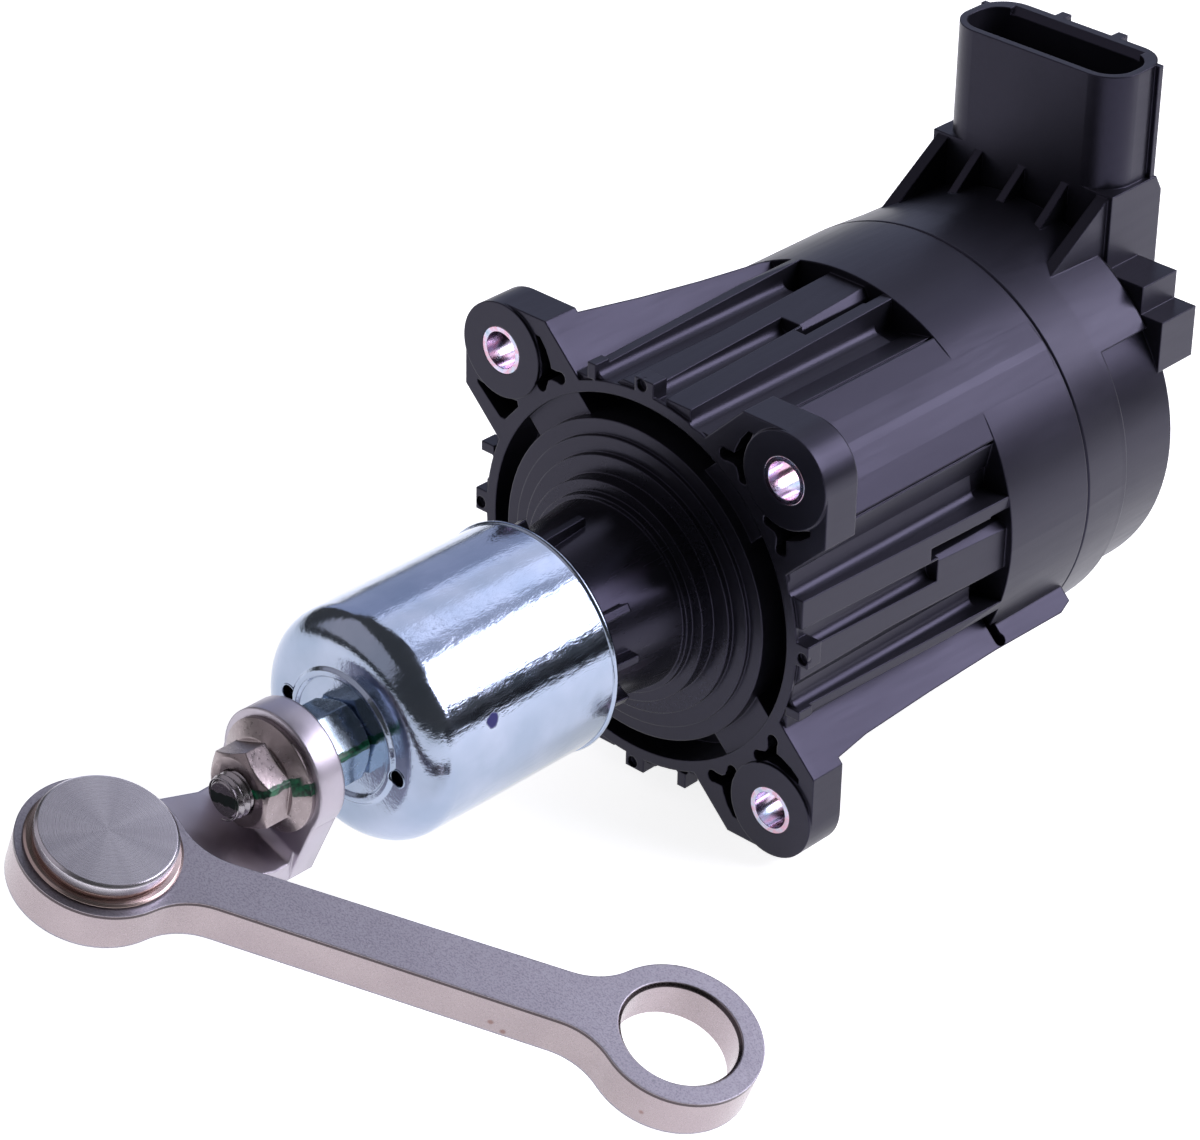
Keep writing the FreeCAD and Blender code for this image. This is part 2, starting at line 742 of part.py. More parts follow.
def buttress():
    """Five sloped walls that carry the connector on the cover."""
    items = []
    for i in range(5):
        outer = i in (0, 4)
        slope = "outer_slope" if outer else "rib_slope"
        corners = [
            ("rib_foot_y", "20"),
            ("rib_foot_y", "conn_base - (conn_front + 0.6 - rib_foot_y) * " + slope),
            ("conn_front + 0.6", "conn_base"),
            ("conn_front + 3", "conn_base"),
            ("conn_front + 3", "20"),
        ]
        middle = "%d * rib_pitch" % (i - 2)
        half = "rib_wall / 2"
        if outer:
            middle = "%d * (conn_half - rib_wall * 0.7)" % (i // 2 - 1)
            half = "rib_wall * 0.75"
        name = "buttress_wall_%d" % i
        items.append(slab(name, "profile", corners, middle + " + " + half, "-(%s) + %s" % (middle, half)))
    inside = along_rod("buttress_inside", "cover_cavity + 1", "50", "cover_back - 1")
    walls = join("buttress_walls", items)
    return less("buttress", walls, inside)


def connector_base():
    corners = [
        ("cover_back - 1", "base_low"),
        ("base_back", "base_low"),
        ("base_back", "conn_base - 2.4"),
        ("base_back - 1.4", "conn_base"),
        ("conn_front", "conn_base"),
        ("conn_front", "28"),
        ("cover_back - 1", "25"),
    ]
    return slab("connector_base", "profile", corners, "base_half", "base_half")


def shroud_ribs():
    items = []
    back = "conn_front + conn_depth"
    for name, x in (("rib_far_left", "-4.6"), ("rib_far_right", "5.3")):
        items.append(brick(name, x + " - 0.8", x + " + 0.8", back + " - 0.4", back + " + 1.7", "conn_base",
                           "conn_top"))
    items.append(brick("rib_side", "conn_half - 1.5", "conn_half + 0.6", back + " - 3.7", back + " - 2.8",
                       "conn_base - 1", "conn_top - 0.1"))
    items.append(brick("rib_side_left", "-conn_half - 0.6", "1.5 - conn_half", back + " - 3.7", back + " - 2.8",
                       "conn_base - 1", "conn_top - 0.1"))
    return items


def rear_blocks():
    low = brick("rear_block_low", "12", "26.4", "cover_back - 1.5", "cover_back + 6.2", "11.5", "19.2")
    high = brick("rear_block_high", "12", "22.7", "cover_back - 1.5", "cover_back + 6.2", "19.1", "23.4")
    return [low, high]


def board_posts():
    """Three posts inside the cover that the circuit board seats on."""
    items = []
    for i in range(3):
        name = "board_post_%d" % i
        post = along_rod(name, "post_rad", "board_at + board_thick", "cover_back - cover_wall + 1", "0",
                         "-post_at")
        items.append(swung(group(name + "_turn", [post]), 120.0 * (i - 1) * 0.75))
    return items


def blade_path(name, x, reach, grow):
    """Contact blade: straight out of the board, then up into the socket."""
    wide = "blade_half + %s" % grow
    thin = "blade_thin + %s" % grow
    middle = "conn_front + conn_wall + 4.3"
    leg = brick(name + "_leg", "%s - (%s)" % (x, thin), "%s + (%s)" % (x, thin), "board_at + board_thick",
                "%s + %s" % (middle, wide), "18 - (%s)" % wide, "18 + %s" % wide)
    up = brick(name + "_up", "%s - (%s)" % (x, thin), "%s + (%s)" % (x, thin), "%s - (%s)" % (middle, wide),
               "%s + %s" % (middle, wide), "18 - (%s)" % wide, reach)
    return join(name, [leg, up])


def blades(prefix, grow, reach):
    items = []
    for i in range(6):
        items.append(blade_path("%s_%d" % (prefix, i), "%.1f * blade_pitch" % (i - 2.5), reach, grow))
    return items


def rear_cover():
    shell = less("cover_waisted", cover_shell(), waist_tool())
    outside = [shell, shroud(), buttress(), connector_base()]
    solid = join("cover_solid", outside + shroud_ribs() + rear_blocks() + board_posts())
    tools = group("cover_tools", [join("socket_mouth", [socket_tool(), lead_in_tool()])])
    opened = less("cover_opened", solid, tools)
    slots = group("blade_slots", blades("slot", "0.02", "conn_floor + 1"))
    return node(less("cover_final", opened, slots), "rear_cover")


def connector_pins():
    return node(group("blade_group", blades("blade", "0", "conn_floor + 8")), "connector_pins")


# Cup, rod and fastenings
def circle_edges(shape, radius, place):
    found = []
    for i, edge in enumerate(shape.Edges):
        curve = edge.Curve
        if isinstance(curve, Part.Circle) and abs(curve.Radius - radius) < 0.02:
            if abs(curve.Center.y - place) < 0.02:
                found.append("Edge%d" % (i + 1))
    return found


def value(alias):
    return SIZES[alias]


def cup():
    body = turned_piece("cup_body", [
        ("stud_rad + 0.1", "cup_face"),
        ("7.9", "cup_face"),
        ("8.3", "cup_face - 0.45"),
        ("8.9", "cup_face - 0.45"),
        ("9.4", "cup_face"),
        ("cup_rad", "cup_face"),
        ("cup_rad", "cup_mouth"),
        ("cup_rad - cup_wall", "cup_mouth"),
        ("cup_rad - cup_wall", "cup_face + cup_wall + 0.2"),
        ("stud_rad + 0.1", "cup_face + cup_wall + 0.2"),
    ])
    doc.recompute()
    spun = body.Tip
    outer = body.newObject("PartDesign::Fillet", "cup_outer_round")
    outer.Base = (spun, circle_edges(spun.Shape, value("cup_rad"), value("cup_face")))
    bind(outer, Radius="cup_round")
    doc.recompute()
    inner = body.newObject("PartDesign::Fillet", "cup_inner_round")
    inner_rad = value("cup_rad") - value("cup_wall")
    inner.Base = (outer, circle_edges(outer.Shape, inner_rad, value("cup_face") + value("cup_wall") + 0.2))
    bind(inner, Radius="cup_round - cup_wall")
    doc.recompute()
    drains = body_sketch(body, "cup_drains", "XZ_Plane")
    drains.addGeometry(Part.Circle(V(5, 5, 0), V(0, 0, 1), 1), False)
    drains.addGeometry(Part.Circle(V(-5, -5, 0), V(0, 0, 1), 1), False)
    hold(drains, 0, 3, "drain_off * cos(11.6)", "-drain_off * sin(11.6)", V(5, 5, 0))
    hold(drains, 1, 3, "-drain_off * cos(11.6)", "drain_off * sin(11.6)", V(-5, -5, 0))
    for i in range(2):
        k = drains.addConstraint(Sketcher.Constraint("Radius", i, 1))
        drains.setExpression("Constraints[%d]" % k, expr("drain_rad"))
    holes = body.newObject("PartDesign::Pocket", "cup_drain_holes")
    holes.Profile = drains
    bind(holes, Length="90")
    holes.Midplane = False
    holes.Reversed = True
    doc.recompute()
    body.Tip = holes
    return node(body, "cup")


def rod_screw():
    pitch = "thread_pitch"
    corners = [("0", "stud_tip"), ("stud_rad - thread_depth - 0.3", "stud_tip")]
    for i in range(12):
        base = "stud_tip + 0.35 + %d * %s" % (i, pitch)
        corners.append(("stud_rad - thread_depth", base))
        corners.append(("stud_rad", "%s + %s * 0.45" % (base, pitch)))
        corners.append(("stud_rad", "%s + %s * 0.55" % (base, pitch)))
    corners += [
        ("stud_rad - thread_depth", "stud_tip + 0.35 + 12 * %s" % pitch),
        ("stud_rad", "stud_tip + 0.8 + 12 * %s" % pitch),
        ("stud_rad", "cup_face + cup_wall + 0.2"),
        ("rod_rad", "cup_face + cup_wall + 0.2"),
        ("rod_rad", "rod_shoulder_back"),
        ("screw_rad", "rod_shoulder_back"),
        ("screw_rad", "screw_end"),
        ("2.2", "screw_end"),
        ("2.2", "screw_end + 4"),
        ("0", "screw_end + 4"),
    ]
    blank = turned_piece("rod_blank", corners)
    upper = brick("rod_flat_up", "-7", "7", "cone_tip - 12", "rod_shoulder_back", "rod_flat", "7")
    lower = brick("rod_flat_down", "-7", "7", "cone_tip - 12", "rod_shoulder_back", "-7", "-rod_flat")
    return node(less("rod_cut", blank, group("rod_flats", [upper, lower])), "rod_screw")


def hexagon(name, y_from, y_to, degrees):
    item = doc.addObject("Part::Prism", name)
    item.Polygon = 6
    turn_up = FreeCAD.Rotation(V(1, 0, 0), -90)
    item.Placement = FreeCAD.Placement(V(0, 0, 0), FreeCAD.Rotation(V(0, 1, 0), degrees).multiply(turn_up))
    bind(item, Circumradius="nut_flats / 2 / cos(30)", Height="(%s) - (%s)" % (y_to, y_from))
    return centre(item, "0", y_from, "0")


def lock_nut():
    back = "cup_face"
    front = "lock_nut_front"
    blank = hexagon("lock_nut_hex", front, back, -30)
    corners = [
        ("0", front),
        ("nut_flats / 2 - 0.3", front),
        ("nut_flats / 2 + 0.8", front + " + 0.7"),
        ("nut_flats / 2 + 0.8", back + " - 0.7"),
        ("nut_flats / 2 - 0.3", back),
        ("0", back),
    ]
    barrel = turned_piece("lock_nut_barrel", corners)
    plain = shared("lock_nut_plain", blank, barrel)
    bore = along_rod("lock_nut_bore", "stud_rad + 0.02", front + " - 1", back + " + 1")
    return node(less("lock_nut_cut", plain, bore), "lock_nut")


def flange_nut():
    back = "eye_front"
    front = "flange_nut_front"
    blank = hexagon("flange_nut_hex", front, back, -37)
    corners = [
        ("0", front),
        ("nut_flats / 2 - 0.4", front),
        ("nut_flats / 2 + 0.8", front + " + 0.8"),
        ("nut_flats / 2 + 0.8", back),
        ("0", back),
    ]
    plain = shared("flange_nut_plain", blank, turned_piece("flange_nut_barrel", corners))
    skirt = turned_piece("flange_nut_skirt", [
        ("0", back),
        ("flange_rim", back),
        ("flange_rim", back + " - 0.7"),
        ("nut_flats / 2 + 0.6", back + " - 2"),
        ("0", back + " - 2"),
    ])
    bore = along_rod("flange_nut_bore", "stud_rad + 0.02", front + " - 1", back + " + 1")
    return node(less("flange_nut_cut", join("flange_nut_solid", [plain, skirt]), bore), "flange_nut")


def bracket():
    back = "lock_nut_front"
    front = "eye_front"
    disc = along_rod("bracket_disc", "eye_plate_rad", front, back)
    tongue = slab("bracket_tongue", "front", [
        ("-eye_plate_rad + 0.45", "-3.2"),
        ("eye_plate_rad - 0.45", "-3.2"),
        ("tongue_half", "-13"),
        ("-tongue_half", "-13"),
    ], back, "-(%s)" % front)
    web = slab("bracket_web", "profile", [
        (back, "-5"),
        (back, "-11.6"),
        ("%s + 1.4" % front, "-13"),
        ("%s - 3" % front, "-12.9"),
        ("pin_at + 8.5", "plate_low"),
        ("pin_at - 9", "plate_low"),
        ("pin_at - 9", "plate_high"),
        ("pin_at + 9.2", "plate_high"),
        ("%s - 3.2" % front, "-9.3"),
        ("%s - 1.2" % front, "-9.2"),
        (front, "-8.2"),
        (front, "-5"),
    ], "web_half", "web_half")
    plan = brick("bracket_plan", "-web_half - 1", "web_half + 1", "pin_at", "%s + 1" % back, "-15", "0")
    nose = doc.addObject("Part::Cylinder", "bracket_nose")
    bind(nose, Radius="web_half", Height="15")
    centre(nose, "0", "pin_at", "-15")
    web_cut = shared("bracket_web_cut", web, join("bracket_plan_all", [plan, nose]))
    stud_hole = along_rod("bracket_hole", "stud_rad + 0.05", front + " - 1", back + " + 1")
    pin_hole = doc.addObject("Part::Cylinder", "bracket_pin_hole")
    bind(pin_hole, Radius="pin_foot_rad + 0.02", Height="20")
    centre(pin_hole, "0", "pin_at", "-16")
    solid = join("bracket_solid", [disc, tongue, web_cut])
    final = less("bracket_cut", solid, group("bracket_holes", [stud_hole, pin_hole]))
    final.Placement = FreeCAD.Placement(V(0, 0, 0), FreeCAD.Rotation(V(0, 1, 0), 20))
    final.setExpression("Placement.Rotation.Angle", expr("tilt"))
    return node(final, "bracket")


def pivot_frame(body):
    """Local Z is the pivot axis of the link, the origin is where it crosses the rod axis."""
    body.Placement = FreeCAD.Placement(V(0, 0, 0), FreeCAD.Rotation(V(0, 1, 0), 20))
    body.setExpression("Placement.Rotation.Angle", expr("tilt"))
    body.setExpression("Placement.Base.y", expr("pin_at"))
    return body


def upright_piece(name, corners):
    """Body of revolution about the pivot axis; corners are (radius, height)."""
    body = doc.addObject("PartDesign::Body", name)
    sketch = body_sketch(body, name + "_outline", "XZ_Plane")
    closed_outline(sketch, corners)
    spun = body.newObject("PartDesign::Revolution", name + "_turned")
    spun.Profile = sketch
    spun.ReferenceAxis = (sketch, ["V_Axis"])
    spun.Angle = 360
    body.Tip = spun
    return pivot_frame(body)


def link_pin():
    seat = "link_high + 0.1"
    return node(upright_piece("link_pin_body", [
        ("0", "plate_low - 1"),
        ("pin_foot_rad + 1", "plate_low - 1"),
        ("pin_foot_rad + 1", "plate_low"),
        ("pin_foot_rad", "plate_low"),
        ("pin_foot_rad", "plate_high"),
        ("pin_rad", "plate_high"),
        ("pin_rad", seat),
        ("pin_collar_rad - 0.2", seat),
        ("pin_collar_rad", seat + " + 0.2"),
        ("pin_collar_rad - 0.35", seat + " + 0.45"),
        ("pin_head_rad - 0.5", seat + " + 0.6"),
        ("pin_head_rad - 0.5", seat + " + 1.0"),
        ("pin_head_rad", seat + " + 1.25"),
        ("pin_head_rad", "pin_head_top - 0.35"),
        ("pin_head_rad - 0.35", "pin_head_top"),
        ("0", "pin_head_top"),
    ]), "link_pin")


def pivot_bush():
    low = "link_low + 0.2"
    high = "link_high - 0.2"
    return node(upright_piece("pivot_bush_body", [
        ("pin_rad + run_gap", low),
        ("pin_rad + run_gap + bush_wall", low),
        ("pin_rad + run_gap + bush_wall", high),
        ("pin_rad + run_gap", high),
    ]), "pivot_bush")


def add_pad(body, name, fill):
    sketch = body_sketch(body, name + "_outline", "XY_Plane", "link_low")
    fill(sketch)
    pad = body.newObject("PartDesign::Pad", name)
    pad.Profile = sketch
    bind(pad, Length="link_high - link_low")
    body.Tip = pad
    return pad


def link_arm():
    body = doc.addObject("PartDesign::Body", "link_arm_body")
    far = "link_reach"
    c = "cos(arm_angle)"
    s = "sin(arm_angle)"

    def spot(along, aside):
        return ("(%s) * %s - (%s) * %s" % (along, c, aside, s), "(%s) * %s + (%s) * %s" % (along, s, aside, c))

    add_pad(body, "link_bar", lambda k: closed_outline(k, [
        spot("1", "-arm_half + 0.2"),
        spot(far, "-arm_half - 0.35"),
        spot(far, "arm_half + 0.35"),
        spot("1", "arm_half - 0.2"),
    ]))
    add_pad(body, "link_eye", lambda k: circle_outline(k, "0", "0", "link_eye_rad"))
    centre_x, centre_y = spot(far, "0")
    last = add_pad(body, "link_ring", lambda k: circle_outline(k, centre_x, centre_y, "link_ring_rad"))
    doc.recompute()
    edges = []
    for i, edge in enumerate(last.Shape.Edges):
        span = edge.BoundBox
        if span.ZLength > value("link_high") - value("link_low") - 0.1 and span.XLength < 0.1:
            if span.YLength < 0.1 and edge.Vertexes[0].Point.distanceToPoint(edge.Vertexes[-1].Point) > 1:
                edges.append("Edge%d" % (i + 1))
    seams = []
    for name in edges:
        point = last.Shape.getElement(name).Vertexes[0].Point
        aside = abs(-point.x * 0.5764 + point.y * 0.8171)
        if aside > 3 and aside < 4.6:
            seams.append(name)
    necks = body.newObject("PartDesign::Fillet", "link_necks")
    necks.Base = (last, seams)
    bind(necks, Radius="neck_round")
    body.Tip = necks
    doc.recompute()
    for name, x, y, radius in (("link_ring_hole", centre_x, centre_y, "link_hole_rad"),
                               ("link_eye_hole", "0", "0", "pin_rad + run_gap + bush_wall")):
        sketch = body_sketch(body, name + "_outline", "XY_Plane", "link_high + 1")
        circle_outline(sketch, x, y, radius)
        hole = body.newObject("PartDesign::Pocket", name)
        hole.Profile = sketch
        bind(hole, Length="link_high - link_low + 2")
        body.Tip = hole
    doc.recompute()
    rims = []
    for i, edge in enumerate(hole.Shape.Edges):
        curve = edge.Curve
        if isinstance(curve, Part.Circle) and abs(curve.Radius - value("link_hole_rad")) < 0.01:
            rims.append("Edge%d" % (i + 1))
    chamfer = body.newObject("PartDesign::Chamfer", "link_hole_chamfers")
    chamfer.Base = (hole, rims)
    bind(chamfer, Size="link_hole_chamfer")
    body.Tip = chamfer
    return node(pivot_frame(body), "link_arm")


# Pieces inside the body
def guide_parts():
    outer = along_rod("guide_outer", "8.15", "-20", "-1")
    bore = along_rod("guide_bore", "rod_rad + run_gap", "-21", "0")
    flats = brick("guide_flats", "-8", "8", "-21", "0", "-rod_flat - run_gap", "rod_flat + run_gap")
    node(less("guide_cut", outer, shared("guide_hole", bore, flats)), "guide_bush")
    seal = turned_piece("rod_seal_body", [
        ("rod_rad + 0.3", "cone_tip + 0.8"),
        ("8.0", "cone_tip + 0.8"),
        ("8.0", "cone_tip + 4.6"),
        ("6.6", "cone_tip + 4.6"),
        ("6.2", "cone_tip + 2.2"),
        ("rod_rad + 0.3", "cone_tip + 1.6"),
    ])
    node(seal, "rod_seal")
    node(tube("front_bearing_body", "sleeve_out + run_gap", "sleeve_out + 1.45", "2.2", "9.3"), "front_bearing")


def rotor_parts():
    node(turned_piece("rotor_sleeve_body", [
        ("sleeve_in", "2.6"),
        ("sleeve_out", "2.6"),
        ("sleeve_out", "10"),
        ("sleeve_out + 1.6", "10"),
        ("sleeve_out + 1.6", "bearing_front - 0.3"),
        ("sleeve_out", "bearing_front - 0.3"),
        ("sleeve_out", "bearing_front + bearing_width"),
        ("sleeve_in", "bearing_front + bearing_width"),
    ]), "rotor_sleeve")
    node(tube("rotor_magnet_body", "sleeve_out + 1.65", "magnet_rad", "magnet_front", "magnet_back"),
         "rotor_magnet")
    node(tube("drive_nut_body", "screw_rad + run_gap", "sleeve_in - 0.02", "18", "36"), "drive_nut")
    node(tube("race_inner_body", "sleeve_out + 0.02", "race_in", "bearing_front",
              "bearing_front + bearing_width"), "bearing_inner_race")


def bearing_parts():
    node(tube("race_outer_body", "race_out", "bearing_out", "bearing_front",
              "bearing_front + bearing_width"), "bearing_outer_race")
    items = []
    for i in range(8):
        ball = doc.addObject("Part::Sphere", "ball_%d" % i)
        bind(ball, Radius="(race_out - race_in) / 2 - 0.04")
        centre(ball, "(race_out + race_in) / 2", "bearing_front + bearing_width / 2", "0")
        items.append(swung(group("ball_turn_%d" % i, [ball]), 45.0 * i))
    node(group("ball_group", items), "bearing_balls")
    leads = [swung(group("lead_turn_%d" % i, [along_rod("lead_%d" % i, "lead_rad", "magnet_back + coil_over",
                                                       "board_at", "lead_at", "0")]), 120.0 * i)
             for i in range(3)]
    paths = [swung(group("path_turn_%d" % i, [along_rod("lead_path_%d" % i, "lead_rad + 0.4", "bearing_front - 1",
                                                       "spigot_front + 1", "lead_at", "0")]), 120.0 * i)
             for i in range(3)]
    carrier = turned_piece("carrier_body", [
        ("bearing_out + 0.02", "bearing_front"),
        ("20", "bearing_front"),
        ("20", "bearing_front + 2.6"),
        ("24.2", "bearing_front + 2.6"),
        ("24.2", "spigot_front"),
        ("15.8", "spigot_front"),
        ("15.8", "bearing_front + bearing_width"),
        ("bearing_out + 0.02", "bearing_front + bearing_width"),
    ])
    node(less("carrier_cut", carrier, group("lead_paths", paths)), "bearing_carrier")
    node(group("lead_group", leads), "motor_leads")


def stator_parts():
    ring = tube("stator_yoke", "yoke_in", "stator_out", "magnet_front + 0.5", "magnet_back - 0.5")
    teeth = []
    coils = []
    for i in range(9):
        tooth = brick("tooth_%d" % i, "stator_in", "yoke_in + 1", "magnet_front + 0.5", "magnet_back - 0.5",
                      "-tooth_half", "tooth_half")
        teeth.append(swung(group("tooth_turn_%d" % i, [tooth]), 40.0 * i))
        outer = brick("coil_out_%d" % i, "stator_in + 1.4", "yoke_in - 0.5", "magnet_front - coil_over",
                      "magnet_back + coil_over", "-coil_half", "coil_half")
        inner = brick("coil_in_%d" % i, "stator_in", "yoke_in + 1", "magnet_front + 0.3", "magnet_back - 0.3",
                      "-tooth_half - 0.2", "tooth_half + 0.2")
        loop = less("coil_loop_%d" % i, outer, inner)
        coils.append(swung(group("coil_turn_%d" % i, [loop]), 40.0 * i))
    bore = along_rod("stator_bore", "stator_in", "magnet_front", "magnet_back")
    node(less("stator_cut", join("stator_solid", [ring] + teeth), bore), "stator_core")
    wound = group("coil_group", coils)
    node(wound, "stator_windings")


def sensor_parts():
    node(turned_piece("holder_body", [
        ("2.22", "screw_end"),
        ("6", "screw_end"),
        ("6", "screw_end + 4"),
        ("2.22", "screw_end + 4"),
    ]), "magnet_holder")
    node(turned_piece("sensor_magnet_body", [
        ("0", "screw_end + 4"),
        ("5", "screw_end + 4"),
        ("5", "screw_end + 7"),
        ("0", "screw_end + 7"),
    ]), "sensor_magnet")
    disc = along_rod("board_disc", "board_rad", "board_at", "board_at + board_thick")
    holes = []
    for i in range(6):
        x = "%.1f * blade_pitch" % (i - 2.5)
        holes.append(along_rod("board_hole_%d" % i, "1.2", "board_at - 1", "board_at + 0.8", x, "18"))
    node(less("board_cut", disc, group("board_holes", holes)), "circuit_board")
    node(brick("hall_box", "-2.5", "2.5", "board_at - 1.5", "board_at", "-2", "2"), "hall_sensor")
    node(tube("cover_seal_body", SEAL_MIDDLE + " - seal_half + seal_gap",
              SEAL_MIDDLE + " + seal_half - seal_gap", "seam_at", "seam_at + seal_deep - seal_gap"), "cover_seal")


housing()
bushings()
rear_cover()
connector_pins()
cup()
rod_screw()
lock_nut()
flange_nut()
bracket()
link_pin()
pivot_bush()
link_arm()
guide_parts()
rotor_parts()
bearing_parts()
stator_parts()
sensor_parts()
doc.recompute()

# Every object and every piece is looked at before anything is written
for item in doc.Objects:
    if "Invalid" in item.State or "Error" in item.State:
        raise RuntimeError("failed object " + item.Name)
for item in nodes:
    if item.Shape.isNull() or not item.Shape.isValid():
        raise RuntimeError("bad piece " + item.Label)

os.makedirs("parts", exist_ok=True)
for item in nodes:
    item.Shape.exportStep(os.path.join("parts", item.Label + ".step"))
    span = item.Shape.BoundBox
    print("%-22s %3d solid %9.1f mm3  x %6.1f %6.1f  y %6.1f %6.1f  z %6.1f %6.1f" % (
        item.Label, len(item.Shape.Solids), item.Shape.Volume,
        span.XMin, span.XMax, span.YMin, span.YMax, span.ZMin, span.ZMax))
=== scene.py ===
import math
import bmesh
import bpy
from mathutils import Matrix, Vector


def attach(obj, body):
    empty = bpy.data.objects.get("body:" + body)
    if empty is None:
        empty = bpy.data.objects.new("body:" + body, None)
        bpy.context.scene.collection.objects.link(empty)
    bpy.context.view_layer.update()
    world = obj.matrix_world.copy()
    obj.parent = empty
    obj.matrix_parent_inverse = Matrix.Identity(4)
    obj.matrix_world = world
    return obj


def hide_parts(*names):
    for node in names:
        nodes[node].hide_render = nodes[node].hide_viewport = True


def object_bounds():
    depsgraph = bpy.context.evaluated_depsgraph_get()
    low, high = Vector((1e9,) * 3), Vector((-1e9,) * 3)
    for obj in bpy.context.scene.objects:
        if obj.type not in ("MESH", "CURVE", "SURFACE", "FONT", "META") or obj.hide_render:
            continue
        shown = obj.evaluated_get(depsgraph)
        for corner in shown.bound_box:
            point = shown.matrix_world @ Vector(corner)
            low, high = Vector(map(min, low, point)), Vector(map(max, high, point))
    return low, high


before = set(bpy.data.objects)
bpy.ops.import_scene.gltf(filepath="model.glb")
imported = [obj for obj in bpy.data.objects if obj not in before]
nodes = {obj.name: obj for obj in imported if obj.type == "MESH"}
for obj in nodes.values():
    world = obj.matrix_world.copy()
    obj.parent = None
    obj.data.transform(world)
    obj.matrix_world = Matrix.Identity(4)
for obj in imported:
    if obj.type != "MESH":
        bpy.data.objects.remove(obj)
cad_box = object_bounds()

MM = 0.001
LINK_TILT = math.radians(20.6)
PIN_AXIS = Vector((math.sin(LINK_TILT), 0, math.cos(LINK_TILT)))

# Sizes and places of the CAD pieces that the looks need, in millimetres
PIN_Y = -94.4
PIN_COLLAR_TOP = 5.4
LINK_LOW, LINK_HIGH = -2.0, 3.9
STUD_TIP_Y = -74.05
CUP_FACE_Y = -53.75
CUP_MOUTH_Y = -20.85
CUP_RADIUS = 15.93
DRAIN_OFF = 9.9
DRAIN_ANGLE = math.radians(-11.6)
PAST_THE_NUTS = 30


def paint(hex_value):
    """sRGB hex colour as linear values with full alpha."""
    parts = [int(hex_value[i:i + 2], 16) / 255 for i in (1, 3, 5)]
    linear = [c / 12.92 if c <= 0.04045 else ((c + 0.055) / 1.055) ** 2.4 for c in parts]
    return (*linear, 1.0)


def add(tree, kind, inputs=(), out=0, **settings):
    """One node with its settings, values and links. Gives the output that is asked for, or the node itself.

    Inputs go by order or by name, and a hex text is a colour.
    """
    made = tree.nodes.new(kind)
    for name, value in settings.items():
        setattr(made, name, value)
    for key, value in inputs.items() if isinstance(inputs, dict) else enumerate(inputs):
        if isinstance(value, bpy.types.NodeSocket):
            tree.links.new(value, made.inputs[key])
        else:
            made.inputs[key].default_value = paint(value) if isinstance(value, str) else value
    return made if out is None else made.outputs[out]


def finish(name, **shader):
    """New material with one principled shader. Gives the material, its tree and the shader."""
    material = bpy.data.materials.new(name)
    material.use_nodes = True
    tree = material.node_tree
    tree.nodes.clear()
    values = {label.replace("_", " "): value for label, value in shader.items()}
    surface = add(tree, "ShaderNodeBsdfPrincipled", values, out=None)
    add(tree, "ShaderNodeOutputMaterial", (surface.outputs[0],), out=None)
    return material, tree, surface


def feed(tree, surface, **values):
    """Links to a shader's inputs, by name."""
    for name, value in values.items():
        tree.links.new(value, surface.inputs[name.replace("_", " ")])


def grain(tree, where, across_mm, along_mm=None, detail=3.0, roughness=0.5):
    """Noise whose grain has a size in millimetres, and another along Y where it is drawn that way."""
    sizes = [1 / (size * MM) for size in (across_mm, along_mm or across_mm, across_mm)]
    stretched = add(tree, "ShaderNodeMapping", {"Vector": where, "Scale": sizes})
    noise = {"Vector": stretched, "Scale": 1.0, "Detail": detail, "Roughness": roughness}
    return add(tree, "ShaderNodeTexNoise", noise, out="Fac")


def blend(tree, noise, first, second, low=0.0, high=1.0, most=1.0):
    """Two colours mixed by a noise or a mask, which is stretched between two of its own values.

    A Mix node has its numbers at inputs 2 and 3, and its colours at inputs 6 and 7 and at output 2.
    """
    share = add(tree, "ShaderNodeMapRange", (noise, low, high, 0.0, most))
    return add(tree, "ShaderNodeMix", {0: share, 6: first, 7: second}, out=2, data_type="RGBA")


def within(tree, value, low_mm, high_mm, soft_mm):
    """One where a length is between two others in millimetres, falling off over a soft edge."""
    up = add(tree, "ShaderNodeMapRange", (value, (low_mm - soft_mm) * MM, (low_mm + soft_mm) * MM))
    down = add(tree, "ShaderNodeMapRange", (value, (high_mm + soft_mm) * MM, (high_mm - soft_mm) * MM))
    return add(tree, "ShaderNodeMath", (up, down), operation="MULTIPLY")


def relief(tree, surface, height, depth_mm, edge_mm):
    """Fine relief over softened edges: no moulded or stamped edge is knife sharp."""
    soft = add(tree, "ShaderNodeBevel", {"Radius": edge_mm * MM}, samples=8)
    bump = add(tree, "ShaderNodeBump", {"Height": height, "Distance": depth_mm * MM, "Strength": 1.0,
                                        "Normal": soft})
    feed(tree, surface, Normal=bump)


def witness_stripe(tree, where, degrees, half_mm, y_from, y_to, inner_mm=0.5):
    """Mask of a ragged line of marking paint that runs out from the rod's axis at one angle."""
    turn = math.radians(degrees)
    beside, outward, along = (
        add(tree, "ShaderNodeVectorMath", (where, axis), out="Value", operation="DOT_PRODUCT")
        for axis in ((math.sin(turn), 0, -math.cos(turn)), (math.cos(turn), 0, math.sin(turn)), (0, 1, 0)))
    rags = grain(tree, where, 1.1)
    shift = add(tree, "ShaderNodeMath", (rags, 0.9 * MM, -0.45 * MM), operation="MULTIPLY_ADD")
    ragged = add(tree, "ShaderNodeMath", (beside, shift), operation="ADD")
    mask = within(tree, ragged, -half_mm, half_mm, 0.07)
    for length, low, high, soft in ((outward, inner_mm, PAST_THE_NUTS, 0.1), (along, y_from, y_to, 0.15)):
        part = within(tree, length, low, high, soft)
        mask = add(tree, "ShaderNodeMath", (mask, part), operation="MULTIPLY")
    return mask


